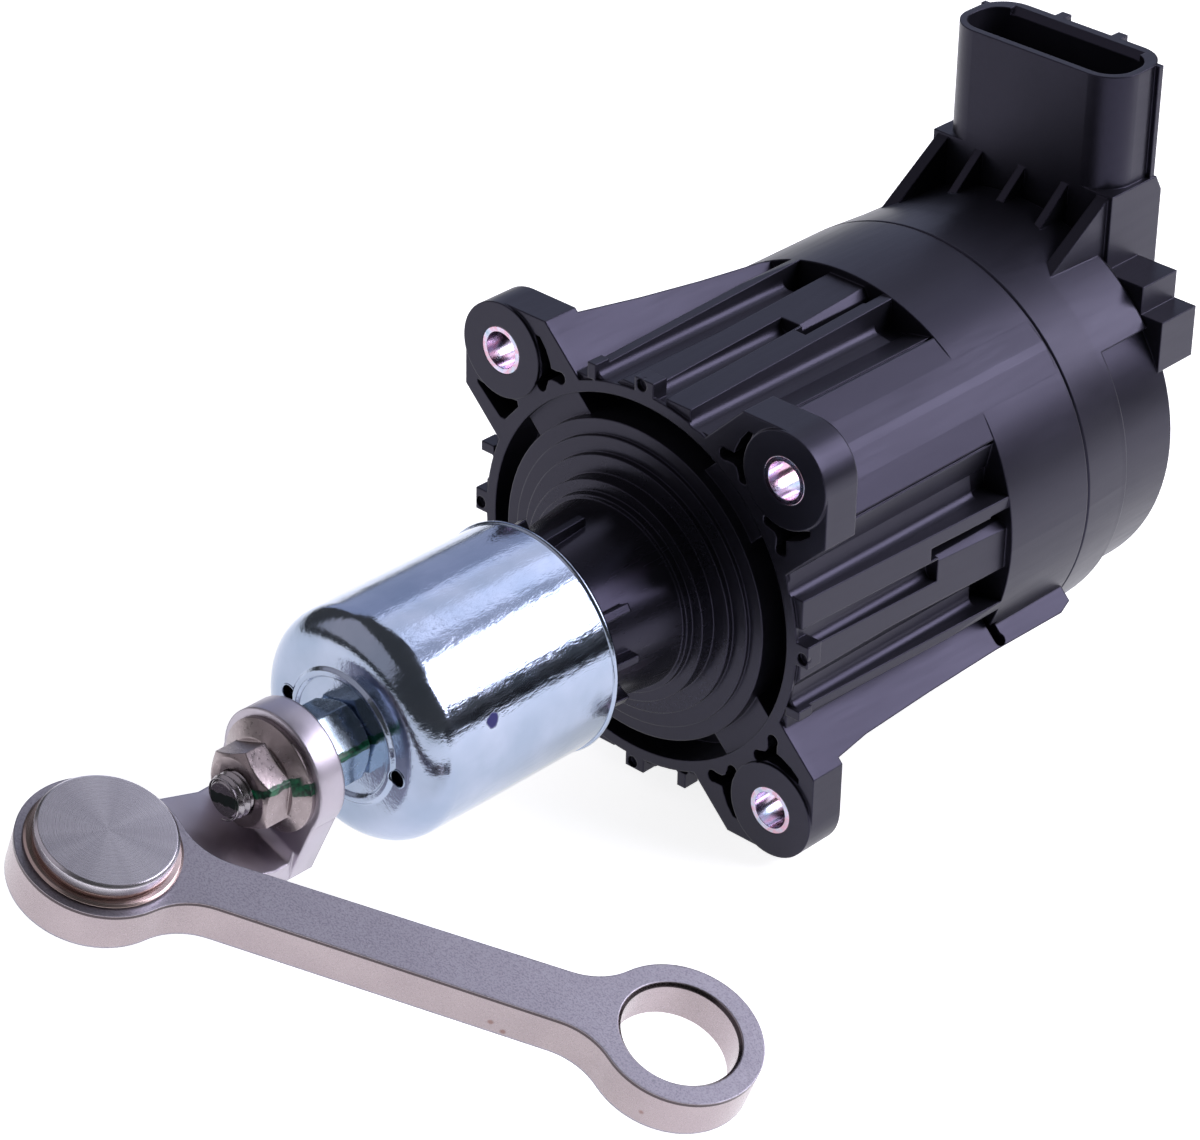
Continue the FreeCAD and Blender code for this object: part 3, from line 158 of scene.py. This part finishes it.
def painted(tree, surface, mask, metal, colour, rough, paint_rough=0.3):
    """Marking paint over bare metal: the paint is no metal and has its own gloss."""
    feed(tree, surface, Base_Color=blend(tree, mask, metal, colour),
         Metallic=add(tree, "ShaderNodeMath", (1.0, mask), operation="SUBTRACT"),
         Roughness=add(tree, "ShaderNodeMix", {0: mask, 2: rough, 3: paint_rough}))


def marking_green(tree, where, dark, light):
    """Thin marking paint, patchy where the brush ran dry."""
    return blend(tree, grain(tree, where, 0.8), dark, light, 0.35, 0.65)


def glass_filled_nylon():
    # Black nylon with glass fibre, injection moulded: satin, with a cool violet sheen on the faces that look
    # at the lamps. The nose comes from a polished core and is glossier than the barrel. Fibres lie along the
    # flow, so faint streaks run along the barrel.
    material, tree, surface = finish("glass_filled_nylon", IOR=1.53, Specular_IOR_Level=0.38,
                                     Specular_Tint="#d6d0ff")
    here = add(tree, "ShaderNodeTexCoord", out="Object")
    flow = grain(tree, here, 9.0, 26.0, detail=4.0)
    streaks = grain(tree, here, 0.7, 9.0)
    fine = grain(tree, here, 0.45)
    along = add(tree, "ShaderNodeVectorMath", (here, (0, 1, 0)), out="Value", operation="DOT_PRODUCT")
    polish = add(tree, "ShaderNodeMapRange", (along, -3 * MM, 2 * MM, 0.7, 1.0))
    drawn = add(tree, "ShaderNodeMapRange", (streaks, 0.25, 0.75, 0.94, 1.1))
    rough = add(tree, "ShaderNodeMapRange", (flow, 0.3, 0.7, 0.33, 0.40))
    for factor in (drawn, polish):
        rough = add(tree, "ShaderNodeMath", (rough, factor), operation="MULTIPLY")
    feed(tree, surface, Base_Color=blend(tree, flow, "#15151a", "#1d1d23", 0.3, 0.7), Roughness=rough)
    height = add(tree, "ShaderNodeMath", (streaks, 0.5, fine), operation="MULTIPLY_ADD")
    relief(tree, surface, height, 0.006, 0.3)
    return material


def zinc_on_drawn_cup():
    # Bright zinc on deep-drawn steel: bluish and mirror-like, with fine drawing lines along the cup that
    # break the edges of a reflection. A blue ink dot of the press shop and a faint handling stain.
    material, tree, surface = finish("bright_zinc_on_drawn_steel")
    here = add(tree, "ShaderNodeTexCoord", out="Object")
    lines = grain(tree, here, 0.8, 2.4, detail=4.0, roughness=0.6)
    speckle = grain(tree, here, 0.30, 0.7, detail=2.0)
    cloud = grain(tree, here, 8.0)
    ink_at, stain_at = (Vector((math.cos(turn) * CUP_RADIUS, y, math.sin(turn) * CUP_RADIUS)) * MM
                        for turn, y in ((math.radians(15.1), -42.7), (math.radians(-6), -24.0)))
    from_ink, from_stain = (add(tree, "ShaderNodeVectorMath", (here, spot), out="Value", operation="DISTANCE")
                            for spot in (ink_at, stain_at))
    rags = grain(tree, here, 0.9)
    wander = add(tree, "ShaderNodeMath", (rags, 0.7 * MM, -0.35 * MM), operation="MULTIPLY_ADD")
    ragged = add(tree, "ShaderNodeMath", (from_ink, wander), operation="ADD")
    bare = blend(tree, cloud, "#96a3b8", "#a6b0c4", 0.35, 0.7)
    bare = blend(tree, within(tree, from_stain, -1, 1.2, 0.9), bare, "#5d6478", most=0.35)
    rough = add(tree, "ShaderNodeMapRange", (lines, 0.3, 0.75, 0.09, 0.18))
    painted(tree, surface, within(tree, ragged, -1, 0.95, 0.12), bare, "#16166c", rough, 0.5)
    height = add(tree, "ShaderNodeMath", (speckle, 0.32, lines), operation="MULTIPLY_ADD")
    relief(tree, surface, height, 0.036, 0.3)
    return material


def zinc_on_turned_nut():
    # Bright zinc on a turned nut: flats sheared smooth, with a green line of marking paint on one corner
    material, tree, surface = finish("bright_zinc_on_turned_nut")
    here = add(tree, "ShaderNodeTexCoord", out="Object")
    mottle = grain(tree, here, 1.6, detail=4.0)
    line = witness_stripe(tree, here, 15.0, 0.62, -62.0, -53.0, 4.2)
    rough = add(tree, "ShaderNodeMapRange", (mottle, 0.3, 0.7, 0.16, 0.32))
    painted(tree, surface, line, blend(tree, mottle, "#a3b8c8", "#c2cfdc"),
            marking_green(tree, here, "#0b3a2b", "#1c8a5c"), rough)
    relief(tree, surface, mottle, 0.012, 0.25)
    return material


def nickel_on_smooth_plate():
    # Nickel over tumbled plate: lavender grey and soft, the press's slight waviness shows in its reflections
    material, tree, surface = finish("nickel_on_tumbled_plate", Metallic=1.0)
    here = add(tree, "ShaderNodeTexCoord", out="Object")
    wave = grain(tree, here, 3.5)
    peel = grain(tree, here, 0.6)
    feed(tree, surface, Base_Color=blend(tree, wave, "#aaa5b1", "#c2bbc4"),
         Roughness=add(tree, "ShaderNodeMapRange", (wave, 0.3, 0.7, 0.34, 0.46)))
    height = add(tree, "ShaderNodeMath", (peel, 0.12, wave), operation="MULTIPLY_ADD")
    relief(tree, surface, height, 0.03, 0.5)
    return material


def nickel_on_blasted_lever():
    # Nickel over a fine-blanked, blasted lever: speckled satin top, smoother rose-tinted sheared sides with
    # painted shade as a dark line under the top edge, and a few brown specks. Grit of about 0.2 mm is drawn
    # at 0.26 mm to show.
    material, tree, surface = finish("nickel_on_blasted_steel", Metallic=1.0)
    here = add(tree, "ShaderNodeTexCoord", out="Object")
    grit = grain(tree, here, 0.26, roughness=0.6)
    cloud = grain(tree, here, 7.0, detail=4.0)
    height = add(tree, "ShaderNodeVectorMath", (here, PIN_AXIS), out="Value", operation="DOT_PRODUCT")
    side = within(tree, height, LINK_LOW + 0.25, LINK_HIGH - 0.05, 0.05)
    top = blend(tree, cloud, "#a09ca7", "#aeaab4")
    top = blend(tree, grit, top, "#7f7b87", 0.46, 0.66, 0.6)
    flank = blend(tree, cloud, "#9f9398", "#b3a7aa")
    spots = add(tree, "ShaderNodeTexVoronoi", {"Vector": here, "Scale": 1 / (4.5 * MM)}, out="Distance")
    flank = blend(tree, spots, flank, "#7a5244", 0.11, 0.05, 0.6)
    # Painted shade: the side is darkened in a thin line just under the top edge
    painted_shade_line_under_top_edge = within(tree, height, LINK_HIGH - 0.55, LINK_HIGH - 0.10, 0.05)
    flank = blend(tree, painted_shade_line_under_top_edge, flank, "#2f282c", most=0.85)
    rough = add(tree, "ShaderNodeMapRange", (grit, 0.3, 0.7, 0.36, 0.46))
    gloss = add(tree, "ShaderNodeMapRange", (side, 0.0, 1.0, 1.0, 0.65))
    feed(tree, surface, Base_Color=blend(tree, side, top, flank),
         Roughness=add(tree, "ShaderNodeMath", (rough, gloss), operation="MULTIPLY"))
    grit_left = add(tree, "ShaderNodeMapRange", (side, 0.0, 1.0, 1.0, 0.07))
    relief(tree, surface, add(tree, "ShaderNodeMath", (grit, grit_left), operation="MULTIPLY"), 0.02, 0.22)
    return material


def nickel_on_cold_headed_nut():
    # Nickel on a cold-headed flange nut: warm brownish, grainy hex faces, green marking paint on one corner
    material, tree, surface = finish("nickel_on_cold_headed_steel")
    here = add(tree, "ShaderNodeTexCoord", out="Object")
    pits = grain(tree, here, 0.5, detail=4.0, roughness=0.6)
    cloud = grain(tree, here, 2.5)
    on_hex = witness_stripe(tree, here, 19.5, 0.55, -72.5, -66.9, 2.9)
    on_flange = witness_stripe(tree, here, 9.0, 0.85, -67.9, -65.0, 5.6)
    line = add(tree, "ShaderNodeMath", (on_hex, on_flange), operation="MAXIMUM")
    rough = add(tree, "ShaderNodeMapRange", (pits, 0.3, 0.7, 0.24, 0.42))
    painted(tree, surface, line, blend(tree, cloud, "#8c8284", "#aa9ea0"),
            marking_green(tree, here, "#082c22", "#1f8358"), rough)
    relief(tree, surface, pits, 0.02, 0.25)
    return material


def nickel_on_rolled_stud():
    # Nickel on the rod with its rolled thread: bright crests, dark roots, and a dark green dab across the tip
    material, tree, surface = finish("nickel_on_rolled_thread")
    here = add(tree, "ShaderNodeTexCoord", out="Object")
    fine = grain(tree, here, 0.5, 3.0)
    dab = witness_stripe(tree, here, 8.0, 0.8, STUD_TIP_Y - 0.3, STUD_TIP_Y + 0.25, -5.0)
    rough = add(tree, "ShaderNodeMapRange", (fine, 0.3, 0.7, 0.18, 0.32))
    painted(tree, surface, dab, blend(tree, fine, "#8e8a92", "#a8a3a6"), "#07201a", rough)
    relief(tree, surface, fine, 0.01, 0.12)
    return material


def nickel_on_turned_pin():
    # Nickel on a pin with a faced head: a painted sheen fans out from the middle in its colour, where turning
    # marks fan the light out; the marks themselves are fine rings in the relief. The collar is warmer
    material, tree, surface = finish("nickel_on_faced_pin", Metallic=1.0)
    here = add(tree, "ShaderNodeTexCoord", out="Object")
    level = add(tree, "ShaderNodeMapping", {"Vector": here, "Location": (0, PIN_Y * MM, 0),
                                            "Rotation": (0, LINK_TILT, 0)}, vector_type="TEXTURE")
    flat = add(tree, "ShaderNodeVectorMath", (level, (1, 1, 0)), operation="MULTIPLY")
    spoke = add(tree, "ShaderNodeVectorMath", (flat,), operation="NORMALIZE")
    painted_sheen_fan = add(tree, "ShaderNodeTexNoise", {"Vector": spoke, "Scale": 1.6, "Detail": 2.0}, out="Fac")
    radius = add(tree, "ShaderNodeVectorMath", (flat,), out="Value", operation="LENGTH")
    rings = add(tree, "ShaderNodeMath", (radius, 1 / (0.12 * MM)), operation="MULTIPLY")
    cuts = add(tree, "ShaderNodeTexNoise", {"W": rings, "Scale": 1.0, "Detail": 3.0}, out="Fac",
               noise_dimensions="1D")
    height = add(tree, "ShaderNodeSeparateXYZ", (level,), out="Z")
    # Painted sheen: the face is lighter and darker in a fan round the middle, as light off turning marks
    # would be
    face = blend(tree, painted_sheen_fan, "#c0bcc5", "#d2ced6", 0.35, 0.65)
    collar = within(tree, height, 0.0, PIN_COLLAR_TOP, 0.1)
    feed(tree, surface, Base_Color=blend(tree, collar, face, "#b6a39f"),
         Roughness=add(tree, "ShaderNodeMapRange", (cuts, 0.3, 0.7, 0.24, 0.31)))
    relief(tree, surface, cuts, 0.0012, 0.2)
    return material


def passivated_bushing():
    # Zinc with a clear passivate: its thin film turns pink and teal in bands round the bore
    material, tree, surface = finish("iridescent_passivated_zinc", Metallic=1.0)
    here = add(tree, "ShaderNodeTexCoord", out="Object")
    film = add(tree, "ShaderNodeValToRGB", (grain(tree, here, 2.2, 6.0),), out=None)
    stops = film.color_ramp.elements
    tints = [(0.3, "#9fb6c9"), (0.45, "#d3cbe2"), (0.55, "#d6a9bd"), (0.7, "#b9c8d8")]
    while len(stops) < len(tints):
        stops.new(0.5)
    for stop, (spot, shade) in zip(stops, tints):
        stop.position = spot
        stop.color = paint(shade)
    fine = grain(tree, here, 0.4)
    feed(tree, surface, Base_Color=film.outputs["Color"],
         Roughness=add(tree, "ShaderNodeMapRange", (fine, 0.3, 0.7, 0.14, 0.24)))
    relief(tree, surface, fine, 0.005, 0.15)
    return material


def plain_metal(name, shade, darker, roughness, grain_mm):
    """Machined or plated metal with a light mottle. The comment at its use says what it is."""
    material, tree, surface = finish(name, Metallic=1.0)
    fine = grain(tree, add(tree, "ShaderNodeTexCoord", out="Object"), grain_mm, detail=4.0)
    feed(tree, surface, Base_Color=blend(tree, fine, darker, shade),
         Roughness=add(tree, "ShaderNodeMapRange", (fine, 0.3, 0.7, roughness * 0.8, roughness * 1.3)))
    relief(tree, surface, fine, 0.008, 0.15)
    return material


def plain_solid(name, shade, darker, roughness, grain_mm):
    """Moulded or laminated stuff with a light mottle. The comment at its use says what it is."""
    material, tree, surface = finish(name)
    fine = grain(tree, add(tree, "ShaderNodeTexCoord", out="Object"), grain_mm)
    feed(tree, surface, Base_Color=blend(tree, fine, darker, shade),
         Roughness=add(tree, "ShaderNodeMapRange", (fine, 0.3, 0.7, roughness * 0.85, roughness * 1.15)))
    relief(tree, surface, fine, 0.01, 0.15)
    return material


nylon = glass_filled_nylon()
bushing = passivated_bushing()
# Ground bearing steel: nearly a mirror
race = plain_metal("ground_bearing_steel", "#c4c6ca", "#aeb0b5", 0.15, 0.5)
# Stack of silicon steel sheets: dull grey, punched
sheets = plain_metal("stacked_core_sheet", "#7b7d82", "#5f6166", 0.5, 0.6)
# Enamelled copper wire: reddish, clear varnish
copper = plain_metal("enamelled_copper", "#b0602f", "#8c4422", 0.3, 0.5)
# Sintered bronze: open pores, yellow brown
bronze = plain_metal("sintered_bronze", "#b48544", "#8f6430", 0.45, 0.4)
# Tin plate on contact blades: soft, pale, slightly yellow
tin = plain_metal("tin_plate", "#bcb6ab", "#a49e94", 0.3, 0.6)
# Turned steel, oiled: plain mid grey with a soft shine
turned = plain_metal("turned_steel", "#adadb2", "#95959b", 0.28, 0.4)
# Magnet with its epoxy coat: near black, half matt
magnet = plain_solid("epoxy_coated_magnet", "#3a3a3e", "#2b2b2e", 0.4, 0.7)
# Glass epoxy board under green solder resist: glossy dark green
board = plain_solid("green_circuit_board", "#145a30", "#0d4224", 0.35, 1.2)
# Moulded epoxy of the sensor and its magnet's holder: black, matt
epoxy = plain_solid("moulded_epoxy", "#1d1d20", "#141416", 0.5, 0.6)
# Nitrile rubber, moulded: black, dull
rubber = plain_solid("nitrile_rubber", "#1a1a1a", "#101010", 0.55, 0.5)
# Bearing polymer with bronze filler: brown, waxy
polymer = plain_solid("filled_bearing_polymer", "#5c4d39", "#493c2c", 0.45, 0.6)

dressed = {
    "housing": nylon, "rear_cover": nylon, "connector_pins": tin, "cover_seal": rubber,
    "bushing_upper_left": bushing, "bushing_upper_right": bushing, "bushing_lower_right": bushing,
    "guide_bush": polymer, "rod_seal": rubber, "front_bearing": bronze, "bearing_carrier": turned,
    "bearing_outer_race": race, "bearing_balls": race, "bearing_inner_race": race,
    "stator_core": sheets, "stator_windings": copper, "motor_leads": copper,
    "circuit_board": board, "hall_sensor": epoxy, "magnet_holder": epoxy, "sensor_magnet": magnet,
    "rotor_sleeve": turned, "rotor_magnet": magnet, "drive_nut": bronze,
    "rod_screw": nickel_on_rolled_stud(), "cup": zinc_on_drawn_cup(), "lock_nut": zinc_on_turned_nut(),
    "bracket": nickel_on_smooth_plate(), "flange_nut": nickel_on_cold_headed_nut(),
    "link_pin": nickel_on_turned_pin(), "pivot_bush": polymer, "link_arm": nickel_on_blasted_lever(),
}
for name, material in dressed.items():
    skin = nodes[name].data.materials
    skin.clear()
    skin.append(material)


def placed(name, data):
    """New object at the origin, in the scene."""
    thing = bpy.data.objects.new(name, data)
    bpy.context.scene.collection.objects.link(thing)
    return thing


def settle(piece):
    """Takes the evaluated shape as the piece's own mesh and removes its modifiers."""
    depsgraph = bpy.context.evaluated_depsgraph_get()
    result = bpy.data.meshes.new_from_object(piece.evaluated_get(depsgraph))
    piece.modifiers.clear()
    piece.data = result


def copy_of(node, whole_faces=True):
    """Mesh copy of a CAD node with its loose triangles merged, and its flat faces made whole where asked."""
    shape = bmesh.new()
    shape.from_mesh(nodes[node].data)
    bmesh.ops.remove_doubles(shape, verts=shape.verts, dist=0.002 * MM)
    if whole_faces:
        bmesh.ops.dissolve_limit(shape, angle_limit=math.radians(0.5), verts=shape.verts, edges=shape.edges)
    return shape


def rounded_piece(shape, name, material, bevel_mm, corner, smooth):
    """Object from a bmesh with rounded edges. The bmesh is used up.

    Edges sharper than corner degrees are rounded, and edges up to smooth degrees are shaded over.
    """
    mesh = bpy.data.meshes.new(name)
    shape.normal_update()
    shape.to_mesh(mesh)
    shape.free()
    piece = placed(name, mesh)
    mesh.materials.append(material)
    rounding = piece.modifiers.new("rounding", "BEVEL")
    rounding.width = bevel_mm * MM
    rounding.segments = 4
    rounding.limit_method = "ANGLE"
    rounding.angle_limit = math.radians(corner)
    rounding.harden_normals = False
    settle(piece)
    piece.data.polygons.foreach_set("use_smooth", [True] * len(piece.data.polygons))
    shape = bmesh.new()
    shape.from_mesh(piece.data)
    for edge in shape.edges:
        if len(edge.link_faces) == 2 and edge.calc_face_angle() > math.radians(smooth):
            edge.smooth = False
    shape.to_mesh(piece.data)
    shape.free()
    return piece


# The bracket's eye plate is larger in the CAD than in the photograph. Its tongue runs down to the pin's seat.
# All in millimetres, in the bracket's own level
EYE_PLATE_CAD = 10.75
EYE_PLATE_RADIUS = 8.7
EYE_PLATE_FRONT_Y = -66.0
EYE_BORE_CLEAR = 4.0
TONGUE_TOP_Z = -3.25
TONGUE_END_Z = -12.0
TONGUE_TAPER = 9.75


def bracket_eye():
    """The bracket with its eye at the photograph's radius, and the tongue tapered to meet it."""
    shape = copy_of("bracket", whole_faces=False)
    level = Matrix.Rotation(-LINK_TILT, 4, "Y")
    bmesh.ops.transform(shape, matrix=level, verts=shape.verts)
    shrink = EYE_PLATE_RADIUS / EYE_PLATE_CAD
    for vert in shape.verts:
        x, y, z = vert.co / MM
        if y < EYE_PLATE_FRONT_Y or math.hypot(x, z) < EYE_BORE_CLEAR:
            continue
        if z > TONGUE_TOP_Z:
            vert.co.x *= shrink
            vert.co.z *= shrink
        elif z > TONGUE_END_Z:
            vert.co.x *= shrink + (1 - shrink) * min(1.0, (TONGUE_TOP_Z - z) / TONGUE_TAPER)
    bmesh.ops.transform(shape, matrix=level.inverted(), verts=shape.verts)
    piece = rounded_piece(shape, "bracket_plate", dressed["bracket"], 0.55, 35, 32)
    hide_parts("bracket")
    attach(piece, "rod")


def turned_nut(node, name, degrees):
    """A nut at the angle that it stopped at when it was tightened."""
    shape = copy_of(node)
    bmesh.ops.transform(shape, matrix=Matrix.Rotation(math.radians(degrees), 4, "Y"), verts=shape.verts)
    piece = rounded_piece(shape, name, dressed[node], 0.12, 25, 28)
    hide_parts(node)
    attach(piece, "rod")


def bead_tree(name, material, kind):
    """Round bead along a ring, along a thread's turn, or repeated on a mesh's points. Sizes in metres."""
    tree = bpy.data.node_groups.new(name, "GeometryNodeTree")
    tree.is_modifier = True
    tree.interface.new_socket("Geometry", in_out="INPUT", socket_type="NodeSocketGeometry")
    sizes = {}
    for label in ("Ring Radius", "Bead Radius", "Place Along Rod", "Turns", "Rise"):
        socket = tree.interface.new_socket(label, in_out="INPUT", socket_type="NodeSocketFloat")
        sizes[label] = socket.identifier
    tree.interface.new_socket("Geometry", in_out="OUTPUT", socket_type="NodeSocketGeometry")
    given = add(tree, "NodeGroupInput", out=None).outputs
    radius = given["Ring Radius"]
    if kind == "thread":
        line = add(tree, "GeometryNodeCurveSpiral", {"Resolution": 96, "Rotations": given["Turns"],
                                                     "Start Radius": radius, "End Radius": radius,
                                                     "Height": given["Rise"]})
    else:
        line = add(tree, "GeometryNodeCurvePrimitiveCircle", {"Resolution": 160 if kind == "rim" else 32,
                                                              "Radius": radius})
    section = add(tree, "GeometryNodeCurvePrimitiveCircle", {"Resolution": 10,
                                                             "Radius": given["Bead Radius"]})
    bead = add(tree, "GeometryNodeCurveToMesh", {"Curve": line, "Profile Curve": section, "Fill Caps": True})
    shift = add(tree, "ShaderNodeCombineXYZ", {"Y": given["Place Along Rod"]})
    bead = add(tree, "GeometryNodeTransform", {"Geometry": bead, "Rotation": (math.radians(90), 0, 0),
                                               "Translation": shift})
    if kind == "repeated":
        bead = add(tree, "GeometryNodeInstanceOnPoints", {"Points": given["Geometry"], "Instance": bead})
    solid = add(tree, "GeometryNodeRealizeInstances", {"Geometry": bead})
    smooth = add(tree, "GeometryNodeSetShadeSmooth", {"Geometry": solid})
    done = add(tree, "GeometryNodeSetMaterial", {"Geometry": smooth, "Material": material})
    add(tree, "NodeGroupOutput", (done,), out=None)
    return tree, sizes


def bead_piece(name, material, kind, slot_name, points=(), **sizes_mm):
    """A bead of that kind on the rod, with the sizes given in millimetres and the turns as a number."""
    tree, sizes = bead_tree(name + "_rule", material, kind)
    mesh = bpy.data.meshes.new(name)
    mesh.from_pydata([tuple(c * MM for c in point) for point in points], [], [])
    piece = placed(name, mesh)
    rule = piece.modifiers.new("rule", "NODES")
    rule.node_group = tree
    for label, value in sizes_mm.items():
        rule[sizes[label.replace("_", " ")]] = value if label == "Turns" else value * MM
    settle(piece)
    if not piece.data.materials:
        piece.data.materials.append(material)
    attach(piece, "rod")


# The cup's rolled mouth: a crisp bright bead with a dark line before it
bead_piece("cup_rolled_rim", dressed["cup"], "rim", "zinc_steel",
           Ring_Radius=15.72, Bead_Radius=0.5, Place_Along_Rod=CUP_MOUTH_Y, Turns=1.0, Rise=0.0)
# Metal drawn up round each pierced drain hole
bead_piece("drain_hole_lips", dressed["cup"], "repeated", "zinc_steel",
           [(off * math.cos(DRAIN_ANGLE), CUP_FACE_Y + 0.02, off * math.sin(DRAIN_ANGLE))
            for off in (DRAIN_OFF, -DRAIN_OFF)],
           Ring_Radius=1.22, Bead_Radius=0.13, Place_Along_Rod=0.0, Turns=1.0, Rise=0.0)
# Lip that the thread rolling left at the stud's last turn
bead_piece("thread_lead_lip", dressed["rod_screw"], "thread", "nickel_steel",
           Ring_Radius=2.72, Bead_Radius=0.14, Place_Along_Rod=STUD_TIP_Y + 0.75, Turns=1.25, Rise=1.0)
bracket_eye()
turned_nut("flange_nut", "flange_nut_tightened", 16.0)
turned_nut("lock_nut", "lock_nut_tightened", 15.0)

# The photograph's camera: its place in metres, its angles in degrees, its focal length in the photo's pixels
CAMERA_AT = (0.33937, -0.37602, 0.30069)
CAMERA_ROUND, CAMERA_UP, CAMERA_TURN = 42.594, 30.583, 1.132
FOCAL_PIXELS = 4443.4
PHOTO_PIXELS_WIDE = 1200
SENSOR_MM = 36.0


def camera():
    lens = bpy.data.cameras.new("camera")
    lens.sensor_width = SENSOR_MM
    lens.lens = FOCAL_PIXELS / PHOTO_PIXELS_WIDE * SENSOR_MM
    lens.clip_start = 0.01
    view = placed("camera", lens)
    round_by, up_by, turn_by = (math.radians(d) for d in (CAMERA_ROUND, CAMERA_UP, CAMERA_TURN))
    back = Vector((math.sin(round_by) * math.cos(up_by), -math.cos(round_by) * math.cos(up_by),
                   math.sin(up_by)))
    across = Vector((math.cos(round_by), math.sin(round_by), 0))
    right = across * math.cos(turn_by) + back.cross(across) * math.sin(turn_by)
    facing = Matrix((right, back.cross(right), back)).transposed().to_4x4()
    view.matrix_world = Matrix.Translation(CAMERA_AT) @ facing
    bpy.context.scene.camera = view


# Softboxes: direction, distance and size in metres, watts, and a slightly warm or cool white
LAMP_AIM = Vector((0.005, -0.005, 0.005))
LAMPS = [
    ("softbox_high", (0.58, 0.62, 0.53), 0.75, 0.60, 0.42, 5.6, "#f5f2ff"),
    ("softbox_strip", (0.19, 0.62, 0.76), 0.80, 0.60, 0.26, 0.36, "#e4e8ff"),
    ("softbox_top", (-0.2, 0.6, 0.77), 0.75, 0.50, 0.24, 0.45, "#eef0ff"),
    ("softbox_left", (-0.69, 0.61, 0.40), 1.0, 0.70, 0.72, 1.0, "#d3dcff"),
    ("softbox_front", (-0.45, -0.62, 0.65), 1.2, 1.7, 1.2, 3.0, "#fdf6ff"),
]


def lamps():
    for name, direction, distance, wide, high, power, shade in LAMPS:
        lamp = bpy.data.lights.new(name, "AREA")
        lamp.shape = "RECTANGLE"
        lamp.size = wide
        lamp.size_y = high
        lamp.energy = power
        lamp.color = paint(shade)[:3]
        away = Vector(direction).normalized()
        facing = away.to_track_quat("Z", "Y").to_matrix().to_4x4()
        placed(name, lamp).matrix_world = Matrix.Translation(LAMP_AIM + away * distance) @ facing


PAPER_GLOW = 0.84


def white_paper():
    # Matt white paper: its own colour, plus the white background for the rays that see it as one, which are
    # the camera's and those of metal and glass
    material, tree, surface = finish("matt_white_paper", Base_Color="#f4f4f4", Roughness=0.9,
                                     Specular_IOR_Level=0.1, Emission_Color="#ffffff")
    rays = add(tree, "ShaderNodeLightPath", out=None).outputs
    seen = add(tree, "ShaderNodeMath", (rays["Is Camera Ray"], rays["Is Glossy Ray"]), operation="MAXIMUM")
    seen = add(tree, "ShaderNodeMath", (seen, rays["Is Transmission Ray"]), operation="MAXIMUM")
    glow = add(tree, "ShaderNodeMath", (seen, PAPER_GLOW), operation="MULTIPLY")
    feed(tree, surface, Emission_Strength=glow)
    return material


def stage_plane(name, corners, material):
    """Flat piece of the studio, which is no piece of the part."""
    mesh = bpy.data.meshes.new(name)
    mesh.from_pydata(corners, [], [(0, 1, 2, 3)])
    mesh.materials.append(material)
    return placed(name, mesh)


# The studio's own sizes in metres, and the strength of its light from all round
FLOOR_REACH = 3.0
FLOOR_GAP = 0.0005
FLAG_SIDE = Vector((-0.61, 0.79, 0)) * 0.26
FLAG_BACK = Vector((0.79, 0.61, 0)) * 0.30
FLAG_FOOT, FLAG_TOP = 0.001, 0.03
AIR_LIGHT = 0.08


def studio():
    low = cad_box[0][2] - FLOOR_GAP
    floor = stage_plane("studio_floor", [(x * FLOOR_REACH, y * FLOOR_REACH, low)
                                         for x, y in ((-1, -1), (1, -1), (1, 1), (-1, 1))], white_paper())
    # Dark felt flag behind on the right: only reflections meet it, and it draws the dark line along the cup
    foot, top = Vector((0, 0, low + FLAG_FOOT)), Vector((0, 0, FLAG_TOP))
    felt = stage_plane("felt_flag", [FLAG_BACK - FLAG_SIDE + foot, FLAG_BACK + FLAG_SIDE + foot,
                                     FLAG_BACK + FLAG_SIDE + top, FLAG_BACK - FLAG_SIDE + top],
                       plain_solid("black_felt", "#0a0a0c", "#060607", 0.95, 1.0))
    for ray in ("camera", "diffuse", "transmission", "shadow", "volume_scatter"):
        setattr(felt, "visible_" + ray, False)
    # Weak light from all round, and white where the camera looks past the floor
    world = bpy.data.worlds.new("studio_air")
    bpy.context.scene.world = world
    world.use_nodes = True
    tree = world.node_tree
    tree.nodes.clear()
    seen = add(tree, "ShaderNodeLightPath", out="Is Camera Ray")
    strength = add(tree, "ShaderNodeMapRange", (seen, 0.0, 1.0, AIR_LIGHT, 1.0))
    air = add(tree, "ShaderNodeBackground", {"Color": "#ffffff", "Strength": strength})
    add(tree, "ShaderNodeOutputWorld", (air,), out=None)
    bpy.context.scene.view_settings.view_transform = "Standard"


camera()
studio()
lamps()
